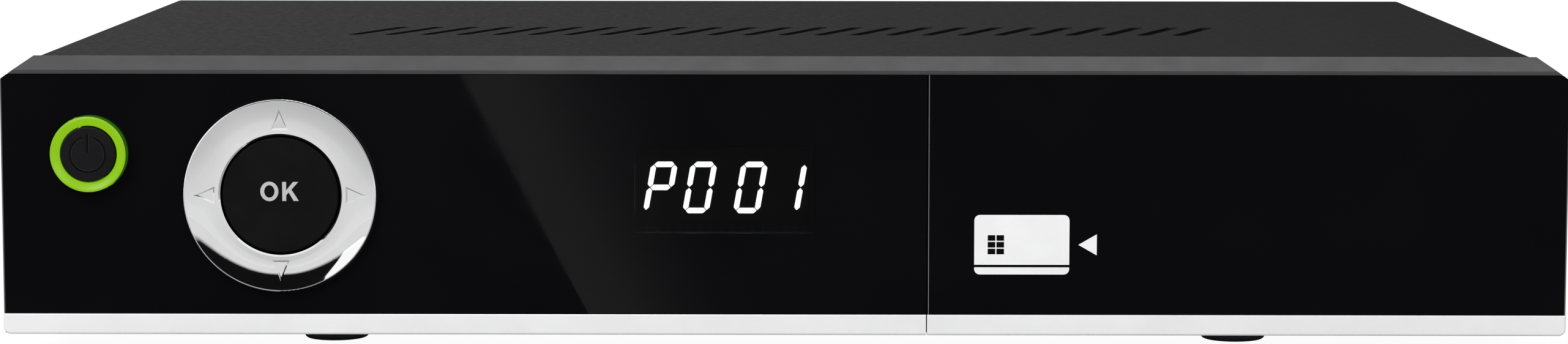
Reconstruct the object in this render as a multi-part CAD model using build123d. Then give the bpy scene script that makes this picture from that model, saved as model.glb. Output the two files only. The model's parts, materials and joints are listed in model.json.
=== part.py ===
from build123d import *
import math
import os

# A low table-top satellite receiver. Millimetres, +Z up, front towards -Y.
# Everything is drawn with y = 0 on the glossy front face and z = 0 on the floor,
# and is moved along Y when written, so that the origin is under the middle of the box.

# ---------------------------------------------------------------- driving sizes

# case
case_width = 280.0          # across the plastic front
case_depth = 165.0          # front face to the rear edge of the cover
body_inset = 5.5            # the metal body is this much narrower on each side
foot_height = 3.3           # floor to the underside of the front
face_height = 46.7          # height of the front, white strip included
bevel_rise = 3.1            # top of the cover above the top of the face
bevel_depth = 4.0           # face to the front edge of the cover
corner_drop = 4.0           # the front's top corners slope down to here below the cover's top
sheet = 0.8                 # steel sheet
sheet_gap = 0.15            # between folded sheets, and between sheet and plastic
chassis_lift = 0.7          # underside of the chassis above the front's lower edge
cover_bend = 1.6            # outside radius of the cover's folds
rear_lip = 6.0              # height of the cover's folded rear lip
flange_height = 12.0        # side flanges of the chassis

# top ventilation slots
vent_count = 24
vent_pitch = 6.9
vent_width = 2.4
vent_length = 24.0
vent_slant = 20.0           # degrees
vent_y = 69.0               # centre of the row

# side ventilation slots
side_vent_count = 14
side_vent_pitch = 6.0
side_vent_width = 2.2
side_vent_height = 17.0
side_vent_y = 52.0          # first slot
side_vent_z = 32.0

# floor ventilation slots
floor_vent_count = 12
floor_vent_pitch = 7.0
floor_vent_width = 2.6
floor_vent_length = 34.0

# feet
foot_radius = 5.95
foot_in = 57.5              # feet from the front's side edges
foot_front_y = 20.0
foot_rear_in = 19.0         # rear feet from the rear edge of the cover
foot_edge = 0.9             # rounding of the foot's lower edge
foot_stem = 2.2
stem_gap = 0.15

# front mouldings
lens_thickness = 1.6
rim_top = 0.8               # frame showing above the lens
rim_step = 0.35             # how far that rim lies behind the face
fit_gap = 0.1               # between mouldings that do not move
web_thickness = 2.5
strip_height = 3.7          # white strip along the lower edge
strip_proud = 0.3
strip_round = 0.45          # lower edge
strip_ease = 0.15           # upper edge
strip_corner = 1.3          # lower outer corner, seen from the front
tongue_depth = 8.0          # how far the frame reaches into the metal body
wall = 2.0                  # frame walls inside the body
bay_depth = 9.5             # face to the wall behind the flap
edge_round = 0.5            # upright front edges of the flap, outer edge of the lens

# flap
seam_x = 25.5               # seam between lens and flap
seam_gap = 0.2
hinge_up = 1.2              # hinge axis above the front's lower edge
hinge_back = 1.3            # hinge axis behind the face
hinge_pin_radius = 0.5
hinge_gap = 0.1
hinge_pin_length = 6.0
ear_width = 2.4
ear_inset = 2.6             # ear from the flap's left edge and from the body's side
ear_gap = 0.3
ear_radius = 0.95
flap_running_gap = 0.3      # swept clearance of the flap's lower edge
carrier_thickness = 2.4
carrier_rib = 1.6

# four-way ring and OK button
ring_in = 50.0              # centre from the front's left edge
ring_up = 25.15             # centre above the front's lower edge
ring_radius = 17.25
ring_bore = 10.75
ring_proud = 1.5
ring_dish = 0.63            # depth of the dish in the ring
ring_edge = 0.25            # rounding of the ring's outer edge
ring_back = 1.0
ring_gap = 0.35
ring_flat = 1.15            # width of the flat beside the bore
ring_tilt = 1.5             # degrees each way
pivot_depth = 4.0           # face to the plane of the ring's four pivots
gimbal_outer = 14.4
gimbal_inner = 12.6
gimbal_thickness = 2.0
gimbal_pin = 1.0
pin_gap = 0.1
lug_thickness = 1.2
lug_width = 6.0
lug_gap = 0.5
post_radius = 0.7
arrow_base = 0.95           # arrow base from the edge of the bore
arrow_length = 3.8
arrow_width = 3.2
arrow_depth = 0.3           # with walls that slope at 45 degrees
ok_gap = 0.4
ok_sunk = 0.25              # OK face below the ring's flat
ok_travel = 0.5

# power button
power_in = 16.0             # centre from the front's left edge
power_up = 32.6
light_ring_radius = 6.75
light_ring_bore = 5.1
light_ring_proud = 2.55
light_ring_dish = 0.9
light_ring_flange = 7.35
power_gap = 0.25
power_travel = 0.6

# key switches on the front board
board_depth = 11.5          # face to the front board
board_thickness = 1.2
switch_size = 6.0
switch_height = 3.5
plunger_radius = 1.7
plunger_proud = 1.1
plunger_gap = 0.15
switch_play = 0.1           # ring post to key at full tilt

# display
digit_height = 9.35
digit_width = 4.45
digit_slant = 10.0
segment_width = 0.98
segment_gap = 0.16
digit_pitch = 7.03
clock_pitch = 9.1           # between the two middle digits
digit_left = -25.35         # lower left corner of the first digit
digit_bottom = 24.75        # above the floor
segment_relief = 0.3
module_width = 30.4
module_height = 14.0
module_depth = 7.0
window_margin = 0.8         # smoked window beyond the module

# boards and connectors
pcb_lift = 5.0              # main board above the chassis floor
pcb_thickness = 1.6
pcb_left_gap = 21.55        # board to the inside of the metal body
pcb_right_gap = 4.55
pcb_front = 34.0
pcb_front_right = 14.0      # where the board reaches forward to the flap's sockets
pcb_step = 1.5              # start of that part, left of the seam
pcb_rear_gap = 1.2
standoff_radius = 3.0
standoff_in = 8.0           # standoffs from the board's front and rear edges
standoff_side_in = 6.5
screw_radius = 1.5
screw_head_radius = 2.9
screw_head_height = 1.5
screw_grip = 2.2            # sheet-metal screws past the last sheet
board_screw_grip = 4.5      # board screws past the board
screw_gap = 0.15
port_gap = 0.3              # connectors in the panels' cut-outs

f_thread_radius = 4.75
f_length = 12.0             # behind the rear panel
f_flats = 11.0
f_nut = 2.0
f_bore = 3.1
tuner_width = 46.0
tuner_depth = 58.0
tuner_height = 17.0
tuner_in = 31.0             # tuner's middle from the board's right end
f_spacing = 24.0

port_spacing = 6.0          # between neighbouring connectors at the rear
hdmi_width = 15.0
lan_width = 15.9
usb_shell_width = 13.1
optical_size = 9.8
dc_width = 9.0
dc_in = 16.0                # supply socket's middle from the board's left end
rca_spacing = 18.0          # supply socket to the block of round sockets
rca_pitch = 14.0
rca_radius = 4.15
rca_flange = 0.9
rca_length = 9.0
rca_grip = 4.0              # barrels' length inside their block
rca_end = 5.5               # block past the middle of its outer barrels

reader_width = 60.0
reader_in = 8.5             # card reader from the left wall of the bay behind the flap
usb_front_in = 13.0         # front bus socket's middle from the bay's right wall

# ---------------------------------------------------------------- derived places

front_bottom = foot_height
front_top = foot_height + face_height
cover_top = front_top + bevel_rise
strip_top = front_bottom + strip_height
half_width = case_width / 2
body_half = half_width - body_inset
chassis_bottom = foot_height + chassis_lift
chassis_floor = chassis_bottom + sheet
inner_half = body_half - sheet - sheet_gap
inner_top = cover_top - sheet - sheet_gap
inner_bend = cover_bend - sheet - sheet_gap
panel_outer = case_depth - sheet - sheet_gap
panel_inner = panel_outer - sheet
web_front = lens_thickness + fit_gap
web_back = web_front + web_thickness
tongue_back = bevel_depth + tongue_depth
hinge_z = front_bottom + hinge_up
flap_sweep = math.hypot(hinge_back + strip_proud, hinge_up)
flap_left = seam_x + seam_gap / 2
lens_right = seam_x - seam_gap / 2
ring_x = ring_in - half_width
ring_z = front_bottom + ring_up
power_x = power_in - half_width
power_z = front_bottom + power_up
foot_x = half_width - foot_in
foot_rear_y = case_depth - foot_rear_in
board_back = board_depth + board_thickness
key_face = board_depth - switch_height
key_top = key_face - plunger_proud
pcb_bottom = chassis_floor + pcb_lift
pcb_top = pcb_bottom + pcb_thickness
pcb_rear = panel_inner - pcb_rear_gap
pcb_left = pcb_left_gap - inner_half
pcb_right = inner_half - pcb_right_gap
pcb_step_x = seam_x - pcb_step
tuner_x = pcb_right - tuner_in
hdmi_x = tuner_x - tuner_width / 2 - port_spacing - hdmi_width / 2
lan_x = hdmi_x - hdmi_width / 2 - port_spacing - lan_width / 2
usb_rear_x = lan_x - lan_width / 2 - port_spacing - usb_shell_width / 2
optical_x = usb_rear_x - usb_shell_width / 2 - port_spacing - optical_size / 2
dc_x = pcb_left + dc_in
rca_x = dc_x + dc_width / 2 + rca_spacing + rca_pitch + rca_end
front_shift = (light_ring_proud - panel_outer - f_length) / 2


# ---------------------------------------------------------------- helpers

def block(x0, x1, y0, y1, z0, z1):
    """A block between two opposite corners."""
    centre = Pos((x0 + x1) / 2, (y0 + y1) / 2, (z0 + z1) / 2)
    return centre * Box(x1 - x0, y1 - y0, z1 - z0)


def rod_y(x, z, radius, y0, y1):
    """A round rod along Y."""
    return Pos(x, (y0 + y1) / 2, z) * Rot(90, 0, 0) * Cylinder(radius, y1 - y0)


def rod_x(y, z, radius, x0, x1):
    """A round rod along X."""
    return Pos((x0 + x1) / 2, y, z) * Rot(0, 90, 0) * Cylinder(radius, x1 - x0)


def rod_z(x, y, radius, z0, z1):
    """A round rod along Z."""
    return Pos(x, y, (z0 + z1) / 2) * Cylinder(radius, z1 - z0)


def plate(outline, y0, y1):
    """A front-view outline in (x, z) from y0 back to y1."""
    return extrude(Plane.XZ.offset(-y0) * outline, amount=-(y1 - y0))


def profile_x(points, x0, x1):
    """A side-view outline of (y, z) points drawn out from x0 to x1."""
    face = make_face(Polyline(*points, close=True))
    return extrude(Plane.YZ.offset(x0) * face, amount=x1 - x0)


def turned_y(points, x, z):
    """A round piece about a line along Y, from (radius, y) points."""
    face = make_face(Polyline(*points, close=True))
    return Pos(x, 0, z) * revolve(face, Axis.Y)


def turned_z(points, x, y):
    """A round piece about a vertical line, from (radius, z) points."""
    face = Plane.XZ * make_face(Polyline(*points, close=True))
    return Pos(x, y, 0) * revolve(face, Axis.Z)


parts = {}


def keep(name, shape):
    """Files a finished piece under its name."""
    parts[name] = shape


# ---------------------------------------------------------------- chassis and cover

rear_ports = {}             # name: front-view outline of its cut-out in the rear panel


def slot_row_top():
    """The slanted ventilation slots across the top of the cover."""
    slot = SlotOverall(vent_length, vent_width, rotation=90 - vent_slant)
    first = -(vent_count - 1) * vent_pitch / 2
    slots = Sketch()
    for i in range(vent_count):
        slots += Pos(first + i * vent_pitch, vent_y) * slot
    return Pos(0, 0, cover_top - 2 * sheet) * extrude(slots, amount=3 * sheet)


def slot_row_side():
    """Upright ventilation slots through both sides of the cover."""
    slot = SlotOverall(side_vent_height, side_vent_width, rotation=90)
    slots = Sketch()
    for i in range(side_vent_count):
        slots += Pos(side_vent_y + i * side_vent_pitch, side_vent_z) * slot
    return extrude(Plane.YZ.offset(-half_width) * slots, amount=case_width)


side_screw_in = 15.0        # rear side screws from the rear edge of the cover
rear_screw_in = 20.0        # outer rear screws from the front's side edges
side_screw_y = (24.0, case_depth - side_screw_in)
side_screw_z = chassis_floor + flange_height / 2
rear_screw_x = (rear_screw_in - half_width, 0.0, half_width - rear_screw_in)
rear_screw_z = cover_top - sheet - rear_lip / 2


def make_cover():
    """The folded steel cover: top, two sides and a lip over the rear panel."""
    shell = block(-body_half, body_half, bevel_depth, case_depth, chassis_bottom, cover_top)
    corners = shell.edges().filter_by(Axis.Y).group_by(Axis.Z)[-1]
    shell = fillet(corners, cover_bend)
    hollow = block(
        sheet - body_half, body_half - sheet, 0, case_depth - sheet, 0, cover_top - sheet
    )
    hollow_corners = hollow.edges().filter_by(Axis.Y).group_by(Axis.Z)[-1]
    shell -= fillet(hollow_corners, cover_bend - sheet)
    lip_edge = cover_top - sheet - rear_lip
    shell -= block(
        sheet - body_half, body_half - sheet, case_depth - 2 * sheet, case_depth + sheet, 0, lip_edge
    )
    shell -= slot_row_top()
    shell -= slot_row_side()
    for y in side_screw_y:
        shell -= rod_x(y, side_screw_z, screw_radius + screw_gap, -half_width, half_width)
    for x in rear_screw_x:
        shell -= rod_y(x, rear_screw_z, screw_radius + screw_gap, panel_outer, case_depth + 1)
    return shell


chip_in = 81.0              # processor's middle from the board's right end
chip_rear_in = 38.0         # processor from the board's rear edge
chip_size = 27.0
sink_size = 40.0
sink_clearance = 10.0       # from the heat sink to the standoff beside it
chip_x = pcb_right - chip_in
chip_rear_y = pcb_rear - chip_rear_in
sink_mid_y = chip_rear_y - chip_size / 2
standoffs = [
    (pcb_left + standoff_side_in, pcb_front + standoff_in),
    (pcb_left + standoff_side_in, pcb_rear - standoff_in),
    (pcb_step_x - 2 * standoff_in, pcb_front + standoff_in),
    (chip_x - sink_size / 2 - sink_clearance, sink_mid_y + sink_size / 2),
    (pcb_right - standoff_side_in, pcb_front + standoff_in),
    (pcb_right - standoff_side_in, sink_mid_y - sink_size / 2),
]


def make_chassis():
    """The folded steel tray: floor, side flanges and rear panel, with pressed standoffs."""
    tray = block(
        -inner_half, inner_half, bevel_depth + sheet_gap, panel_outer, chassis_bottom, chassis_floor
    )
    for side in (-1, 1):
        near, far = sorted((side * inner_half, side * (inner_half - sheet)))
        tray += block(
            near, far, tongue_back + 1, panel_outer, chassis_bottom, chassis_floor + flange_height
        )
    rear_panel = block(
        -inner_half, inner_half, panel_inner, panel_outer, chassis_bottom, inner_top
    )
    top_corners = rear_panel.edges().filter_by(Axis.Y).group_by(Axis.Z)[-1]
    tray += fillet(top_corners, inner_bend)
    for x, y in standoffs:
        tray += rod_z(x, y, standoff_radius, chassis_floor, pcb_bottom)
        tray -= rod_z(x, y, screw_radius + screw_gap, chassis_bottom - 1, pcb_bottom + 1)
    for x in (-foot_x, foot_x):
        for y in (foot_front_y, foot_rear_y):
            tray -= rod_z(x, y, foot_stem + stem_gap, 0, chassis_floor + 1)
    slot = SlotOverall(floor_vent_length, floor_vent_width, rotation=90)
    slots = Sketch()
    first = -(floor_vent_count - 1) * floor_vent_pitch / 2
    for i in range(floor_vent_count):
        slots += Pos(first + i * floor_vent_pitch, case_depth / 2) * slot
    tray -= extrude(slots, amount=chassis_floor + 1)
    for x in frame_screw_x:
        tray -= rod_z(x, frame_screw_y, screw_radius + screw_gap, 0, chassis_floor + 1)
    for y in side_screw_y:
        tray -= rod_x(y, side_screw_z, screw_radius + screw_gap, -half_width, half_width)
    for x in rear_screw_x:
        tray -= rod_y(x, rear_screw_z, screw_radius + screw_gap, panel_inner - 1, case_depth)
    for outline in rear_ports.values():
        tray -= plate(outline, panel_inner - 1, panel_outer + 1)
    return tray


def screw(length):
    """A pan-head screw pointing down, its seat at z = 0."""
    head = [
        (0, 0),
        (screw_head_radius, 0),
        (screw_head_radius, screw_head_height * 0.45),
        (screw_head_radius * 0.72, screw_head_height * 0.9),
        (0, screw_head_height),
    ]
    return turned_z(head, 0, 0) + rod_z(0, 0, screw_radius, -length, 0)


def make_cover_screws():
    """Screws through the cover's sides and rear lip into the chassis."""
    group = []
    length = 2 * sheet + sheet_gap + screw_grip
    for side in (-1, 1):
        for y in side_screw_y:
            group.append(Pos(side * body_half, y, side_screw_z) * Rot(0, side * 90, 0) * screw(length))
    for x in rear_screw_x:
        group.append(Pos(x, case_depth, rear_screw_z) * Rot(-90, 0, 0) * screw(length))
    return Compound(children=group)


def make_foot(x, y):
    """A rubber foot with a stem that snaps through the chassis floor."""
    top = chassis_bottom
    barb = foot_stem + 0.5
    pad = rod_z(x, y, foot_radius, 0, top)
    pad = fillet(pad.edges().filter_by(GeomType.CIRCLE).group_by(Axis.Z)[0], foot_edge)
    stem = rod_z(x, y, foot_stem, top, chassis_floor + stem_gap)
    head = turned_z(
        [
            (0, chassis_floor + stem_gap),
            (barb, chassis_floor + stem_gap),
            (foot_stem - 0.6, chassis_floor + 2.6),
            (0, chassis_floor + 2.6),
        ],
        x,
        y,
    )
    return pad + stem + head


for side_name, side in (("left", -1), ("right", 1)):
    keep("foot_front_" + side_name, make_foot(side * foot_x, foot_front_y))
    keep("foot_rear_" + side_name, make_foot(side * foot_x, foot_rear_y))


# ---------------------------------------------------------------- front frame

module_centre_x = digit_left + (2 * digit_pitch + clock_pitch + digit_width) / 2
module_centre_x += digit_height * math.tan(math.radians(digit_slant)) / 2
module_centre_z = digit_bottom + digit_height / 2
module_front = board_depth - module_depth

ear_starts = (seam_x + ear_inset, inner_half - ear_inset - ear_width)
bay_left = seam_x + wall
bay_right = inner_half - wall
bay_top = front_top - wall
rail_front = hinge_back + flap_sweep + flap_running_gap
rail_top = strip_top
collar_bore = ring_radius - 0.65
collar_outer = collar_bore + 1.8
collar_back = pivot_depth + gimbal_pin + pin_gap + 1.4
ir_x = (ring_x + ring_radius + module_centre_x - module_width / 2 - window_margin) / 2
ir_z = module_centre_z
ir_hole = 4.2

post_low = front_bottom + 10.7
post_high = front_top - 5.0
post_right_x = seam_x - 9.5
post_middle_x = ring_x + ring_radius + 12.75
board_posts = [
    (power_x - 4.0, post_low),
    (power_x + 12.0, post_high),
    (post_middle_x, post_low),
    (post_middle_x, post_high),
    (post_right_x, post_low),
    (post_right_x, post_high),
]
post_boss_radius = 3.0
frame_screw_in = 29.0
frame_screw_x = (frame_screw_in - half_width, 0.0, half_width - frame_screw_in)
frame_screw_y = 8.0
frame_screw_length = 2.6

card_x = bay_left + reader_in + reader_width / 2
usb_front_x = bay_right - usb_front_in
card_slot_z = pcb_top + 2.6
card_slot_width = 57.0
card_slot_height = 3.0
usb_shell_height = 5.7
usb_front_z = pcb_top + usb_shell_height / 2

latch_x = (bay_left + bay_right) / 2
latch_z = bay_top - 6.0


def window_outline(margin):
    """Outline of the display window, larger by margin all round."""
    width = module_width + 2 * (window_margin + margin)
    height = module_height + 2 * (window_margin + margin)
    return Pos(module_centre_x, module_centre_z) * Rectangle(width, height)


def front_form(depth):
    """The front's outline, its top corners sloping down to the sides, from the face back to depth."""
    corner_z = cover_top - corner_drop
    outline = Polyline(
        (-half_width, front_bottom),
        (half_width, front_bottom),
        (half_width, corner_z),
        (body_half, cover_top),
        (-body_half, cover_top),
        (-half_width, corner_z),
        close=True,
    )
    return plate(make_face(outline), 0, depth)


def frame_block():
    """The frame's outer form: bevelled top and sides in front, a tongue behind."""
    floor_line = chassis_floor + sheet_gap
    side_view = [
        (rim_step, front_bottom),
        (rim_step, front_top + rim_top),
        (bevel_depth, cover_top),
        (bevel_depth, inner_top),
        (tongue_back, inner_top),
        (tongue_back, floor_line),
        (bevel_depth, floor_line),
        (bevel_depth, front_bottom),
    ]
    plan = [
        (half_width, rim_step),
        (half_width, web_front),
        (body_half, bevel_depth),
        (inner_half, bevel_depth),
        (inner_half, tongue_back),
    ]
    mirrored = [(-x, y) for x, y in reversed(plan)]
    prism = extrude(make_face(Polyline(*plan, *mirrored, close=True)), amount=cover_top + 1)
    return profile_x(side_view, -half_width, half_width) & prism & front_form(tongue_back)


def make_frame():
    """The moulded frame that carries everything on the front."""
    frame = frame_block()
    tongue_edges = frame.edges().filter_by(Axis.Y).group_by(Axis.Z)[-1]
    frame = fillet(tongue_edges, inner_bend)
    # seat for lens, strip and flap
    frame -= block(
        -half_width - 1, half_width + 1, -1, web_front, front_bottom - 1, front_top + fit_gap
    )
    # hollow behind the web
    frame -= block(
        wall - inner_half,
        seam_x - wall,
        web_back,
        tongue_back + 1,
        chassis_floor + sheet_gap + wall,
        inner_top - wall,
    )
    # bay behind the flap, and the room in which the flap's lower edge swings
    frame -= block(bay_left, bay_right, 0, bay_depth, rail_top, bay_top)
    frame -= block(seam_x - seam_gap, half_width + 1, -1, rail_front, 0, rail_top + flap_running_gap)
    for x in ear_starts:
        ear = rod_x(hinge_back, hinge_z, ear_radius, x, x + ear_width)
        ear += block(
            x, x + ear_width, hinge_back, rail_front + 0.2, hinge_z - ear_radius, hinge_z + ear_radius
        )
        frame += ear
        frame -= rod_x(hinge_back, hinge_z, hinge_pin_radius, x - 1, x + ear_width + 1)
    # collar round the four-way ring, with the two fixed bores of its gimbal
    frame += rod_y(ring_x, ring_z, collar_outer, web_back - 0.5, collar_back)
    frame -= rod_y(ring_x, ring_z, collar_bore, 0, collar_back + 1)
    frame -= rod_x(
        pivot_depth, ring_z, gimbal_pin + pin_gap, ring_x - collar_outer - 1, ring_x + collar_outer + 1
    )
    # openings in the web
    frame -= rod_y(power_x, power_z, light_ring_radius + fit_gap, 0, web_back + 1)
    frame -= rod_y(ir_x, ir_z, ir_hole, 0, web_back + 1)
    frame -= plate(window_outline(fit_gap), 0, web_back + 1)
    # bosses for the front board
    for x, z in board_posts:
        frame += rod_y(x, z, post_boss_radius, web_back - 0.5, board_depth)
        frame -= rod_y(x, z, screw_radius + screw_gap, web_back, board_depth + 1)
    # sockets in the wall behind the flap
    frame -= block(
        card_x - card_slot_width / 2 - port_gap,
        card_x + card_slot_width / 2 + port_gap,
        bay_depth - 1,
        tongue_back + 1,
        card_slot_z - card_slot_height / 2 - port_gap,
        card_slot_z + card_slot_height / 2 + port_gap,
    )
    frame -= block(
        usb_front_x - usb_shell_width / 2 - port_gap,
        usb_front_x + usb_shell_width / 2 + port_gap,
        bay_depth - 1,
        tongue_back + 1,
        usb_front_z - usb_shell_height / 2 - port_gap,
        usb_front_z + usb_shell_height / 2 + port_gap,
    )
    for x in frame_screw_x:
        frame -= rod_z(x, frame_screw_y, screw_radius + screw_gap, 0, rail_top - 0.4)
    return frame


keep("front_frame", make_frame())


# ---------------------------------------------------------------- lens, window and strip

def front_panel(x0, x1, eased_edges):
    """A glossy panel between the strip and the top rim; its outermost upright edges are rounded."""
    panel = block(x0, x1, 0, lens_thickness, strip_top, front_top)
    front_edges = panel.edges().filter_by(Axis.Z).group_by(Axis.Y)[0]
    from_middle = front_edges.sort_by(lambda edge: abs(edge.center().X))
    panel = fillet(from_middle[-eased_edges:], edge_round)
    return panel & front_form(lens_thickness)


def strip(x0, x1, outer_x):
    """A piece of the white strip: rounded lower edge and outer corner, eased upper edge."""
    bar = block(x0, x1, -strip_proud, lens_thickness, front_bottom, strip_top)
    outer = bar.edges().filter_by(Axis.Y).group_by(Axis.Z)[0]
    bar = fillet(outer.sort_by(lambda edge: abs(edge.center().X - outer_x))[0], strip_corner)
    lower = bar.edges().filter_by(Axis.X).group_by(Axis.Z)[0].sort_by(Axis.Y)[0]
    bar = fillet(lower, strip_round)
    upper = bar.edges().filter_by(Axis.X).group_by(Axis.Z)[-1].sort_by(Axis.Y)[0]
    return chamfer(upper, strip_ease)


lens = front_panel(-half_width, lens_right, 1)
lens -= rod_y(ring_x, ring_z, ring_radius + ring_gap, -1, lens_thickness + 1)
lens -= rod_y(power_x, power_z, light_ring_radius + fit_gap, -1, lens_thickness + 1)
window_gap = 0.04
lens -= plate(window_outline(window_gap), -1, lens_thickness + 1)
keep("front_lens", lens)
keep("display_window", plate(window_outline(0), 0, lens_thickness))
keep("trim_strip", strip(-half_width, lens_right, -half_width))


# ---------------------------------------------------------------- flap

carrier_left = bay_left + 0.6
carrier_right = bay_right - 0.6
carrier_top = bay_top - 0.6
carrier_back = lens_thickness + carrier_thickness
carrier_skin = 1.0
barrel_radius = hinge_up
hook_width = 3.6
hook_height = 2.0
hook_reach = 4.6
latch_wall = 1.6
latch_play = 0.8
latch_depth = 3.0

keep("flap_panel", front_panel(flap_left, half_width, 2))


def make_flap_trim():
    """The flap's own piece of the white strip, with the hinge barrel along its back."""
    trim = strip(flap_left, half_width, half_width)
    trim += rod_x(hinge_back, hinge_z, barrel_radius, flap_left, inner_half)
    for x in ear_starts:
        trim -= block(
            x - ear_gap,
            x + ear_width + ear_gap,
            hinge_back - ear_radius - hinge_gap,
            rail_front,
            0,
            hinge_z + ear_radius + hinge_gap + 0.05,
        )
        middle = x + ear_width / 2
        reach = hinge_pin_length / 2 + hinge_gap
        trim -= rod_x(
            hinge_back, hinge_z, hinge_pin_radius + hinge_gap, middle - reach, middle + reach
        )
    return trim


def make_flap_carrier():
    """The ribbed inner shell of the flap, with the hook of its latch."""
    low = strip_top + flap_running_gap
    skin_low = hinge_z + barrel_radius + 0.1
    shell = block(carrier_left, carrier_right, lens_thickness, carrier_back, low, carrier_top)
    shell -= block(
        carrier_left + carrier_rib,
        carrier_right - carrier_rib,
        lens_thickness + carrier_skin,
        carrier_back + 1,
        low + carrier_rib,
        carrier_top - carrier_rib,
    )
    shell += block(
        carrier_left, carrier_right, lens_thickness, lens_thickness + carrier_skin, skin_low, low + 1
    )
    for share in (0.25, 0.75):
        x = carrier_left + share * (carrier_right - carrier_left)
        shell += block(
            x - carrier_rib / 2, x + carrier_rib / 2, lens_thickness, carrier_back, low, carrier_top
        )
    shell += block(
        latch_x - 8, latch_x + 8, lens_thickness, carrier_back, latch_z - 4, carrier_top
    )
    shell += block(
        latch_x - hook_width / 2,
        latch_x + hook_width / 2,
        carrier_back - 0.2,
        carrier_back + hook_reach,
        latch_z - hook_height / 2,
        latch_z + hook_height / 2,
    )
    return shell


def make_latch():
    """The push latch on the wall behind the flap, open towards the hook."""
    half_x = hook_width / 2 + latch_play
    half_z = hook_height / 2 + latch_play
    body = block(
        latch_x - half_x - latch_wall,
        latch_x + half_x + latch_wall,
        bay_depth - latch_depth,
        bay_depth,
        latch_z - half_z - latch_wall,
        latch_z + half_z + latch_wall,
    )
    return body - block(
        latch_x - half_x,
        latch_x + half_x,
        bay_depth - latch_depth - 1,
        bay_depth - 0.3,
        latch_z - half_z,
        latch_z + half_z,
    )


keep("flap_trim", make_flap_trim())
keep("flap_carrier", make_flap_carrier())
keep("flap_latch", make_latch())
pins = []
for x in ear_starts:
    middle = x + ear_width / 2
    pins.append(
        rod_x(
            hinge_back,
            hinge_z,
            hinge_pin_radius,
            middle - hinge_pin_length / 2,
            middle + hinge_pin_length / 2,
        )
    )
keep("flap_hinge_pins", Compound(children=pins))


# ---------------------------------------------------------------- four-way ring and its gimbal

lug_outer = gimbal_outer + lug_gap + lug_thickness
lug_back = pivot_depth + gimbal_pin + pin_gap + 0.7
dish_outer = ring_radius - ring_edge
dish_inner = ring_bore + ring_flat
dish_floor = ring_dish - ring_proud
post_circle = ring_bore + 0.15 + post_radius
post_end = key_top - post_circle * math.sin(math.radians(ring_tilt)) - switch_play


def arrow_outline(inset, y):
    """Front-view triangle of the arrow that points along +X, drawn in by inset, at depth y."""
    half_angle = math.atan2(arrow_width / 2, arrow_length)
    base = inset
    tip = arrow_length - inset / math.sin(half_angle)
    half = (tip - base) * math.tan(half_angle)
    return Plane.XZ.offset(-y) * make_face(Polyline((base, -half), (base, half), (tip, 0), close=True))


def arrow_pocket():
    """What is cut away for one arrow: sloping walls, and a floor that follows the dish."""
    start = ring_bore + arrow_base
    tip_share = (start + arrow_length - dish_inner) / (dish_outer - dish_inner)
    tilt = math.degrees(math.atan2(ring_dish * tip_share**2, arrow_length))
    above = 0.4
    pocket = loft([arrow_outline(arrow_depth, arrow_depth), arrow_outline(-above, -above)], ruled=True)
    return Pos(start, dish_floor, 0) * Rot(0, 0, -tilt) * pocket


def make_ring():
    """The four-way ring: a shallow dish with engraved arrows, two lugs and four posts."""
    middle = (dish_outer + dish_inner) / 2
    section = [
        Line((ring_bore, ring_back), (ring_bore, dish_floor + 0.3)),
        Line((ring_bore, dish_floor + 0.3), (ring_bore + 0.3, dish_floor)),
        Line((ring_bore + 0.3, dish_floor), (dish_inner, dish_floor)),
        ThreePointArc(
            (dish_inner, dish_floor),
            (middle, dish_floor - ring_dish / 4),
            (dish_outer, -ring_proud),
        ),
        RadiusArc((dish_outer, -ring_proud), (ring_radius, ring_edge - ring_proud), -ring_edge),
        Line((ring_radius, ring_edge - ring_proud), (ring_radius, ring_back)),
        Line((ring_radius, ring_back), (ring_bore, ring_back)),
    ]
    ring = revolve(make_face(section), Axis.Y)
    pocket = arrow_pocket()
    for quarter in range(4):
        ring -= Rot(0, 90 * quarter, 0) * pocket
        ring += Rot(0, 90 * quarter, 0) * rod_y(post_circle, 0, post_radius, ring_back - 0.3, post_end)
    for side in (-1, 1):
        low, high = sorted((side * (gimbal_outer + lug_gap), side * lug_outer))
        ring += block(-lug_width / 2, lug_width / 2, ring_back - 0.3, lug_back, low, high)
    ring -= rod_z(0, pivot_depth, gimbal_pin + pin_gap, -ring_radius - 1, -gimbal_outer)
    ring -= rod_z(0, pivot_depth, gimbal_pin + pin_gap, gimbal_outer, ring_radius + 1)
    return Pos(ring_x, 0, ring_z) * ring


def make_gimbal():
    """The gimbal ring: two pins turn in the frame's collar, two carry the four-way ring."""
    front = pivot_depth - gimbal_thickness / 2
    back = pivot_depth + gimbal_thickness / 2
    hoop = turned_y(
        [(gimbal_inner, front), (gimbal_outer, front), (gimbal_outer, back), (gimbal_inner, back)], 0, 0
    )
    root = gimbal_outer - 0.3
    fixed_end = collar_outer - 0.3
    carried_end = lug_outer - 0.1
    hoop += rod_x(pivot_depth, 0, gimbal_pin, root, fixed_end)
    hoop += rod_x(pivot_depth, 0, gimbal_pin, -fixed_end, -root)
    hoop += rod_z(0, pivot_depth, gimbal_pin, root, carried_end)
    hoop += rod_z(0, pivot_depth, gimbal_pin, -carried_end, -root)
    return Pos(ring_x, 0, ring_z) * hoop


keep("nav_ring", make_ring())
keep("nav_ring_gimbal", make_gimbal())


# ---------------------------------------------------------------- OK and power buttons

ok_radius = ring_bore - ok_gap
ok_face = dish_floor + ok_sunk
ok_thickness = 1.5
ok_edge = 0.25
stem_radius = 2.4


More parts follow.
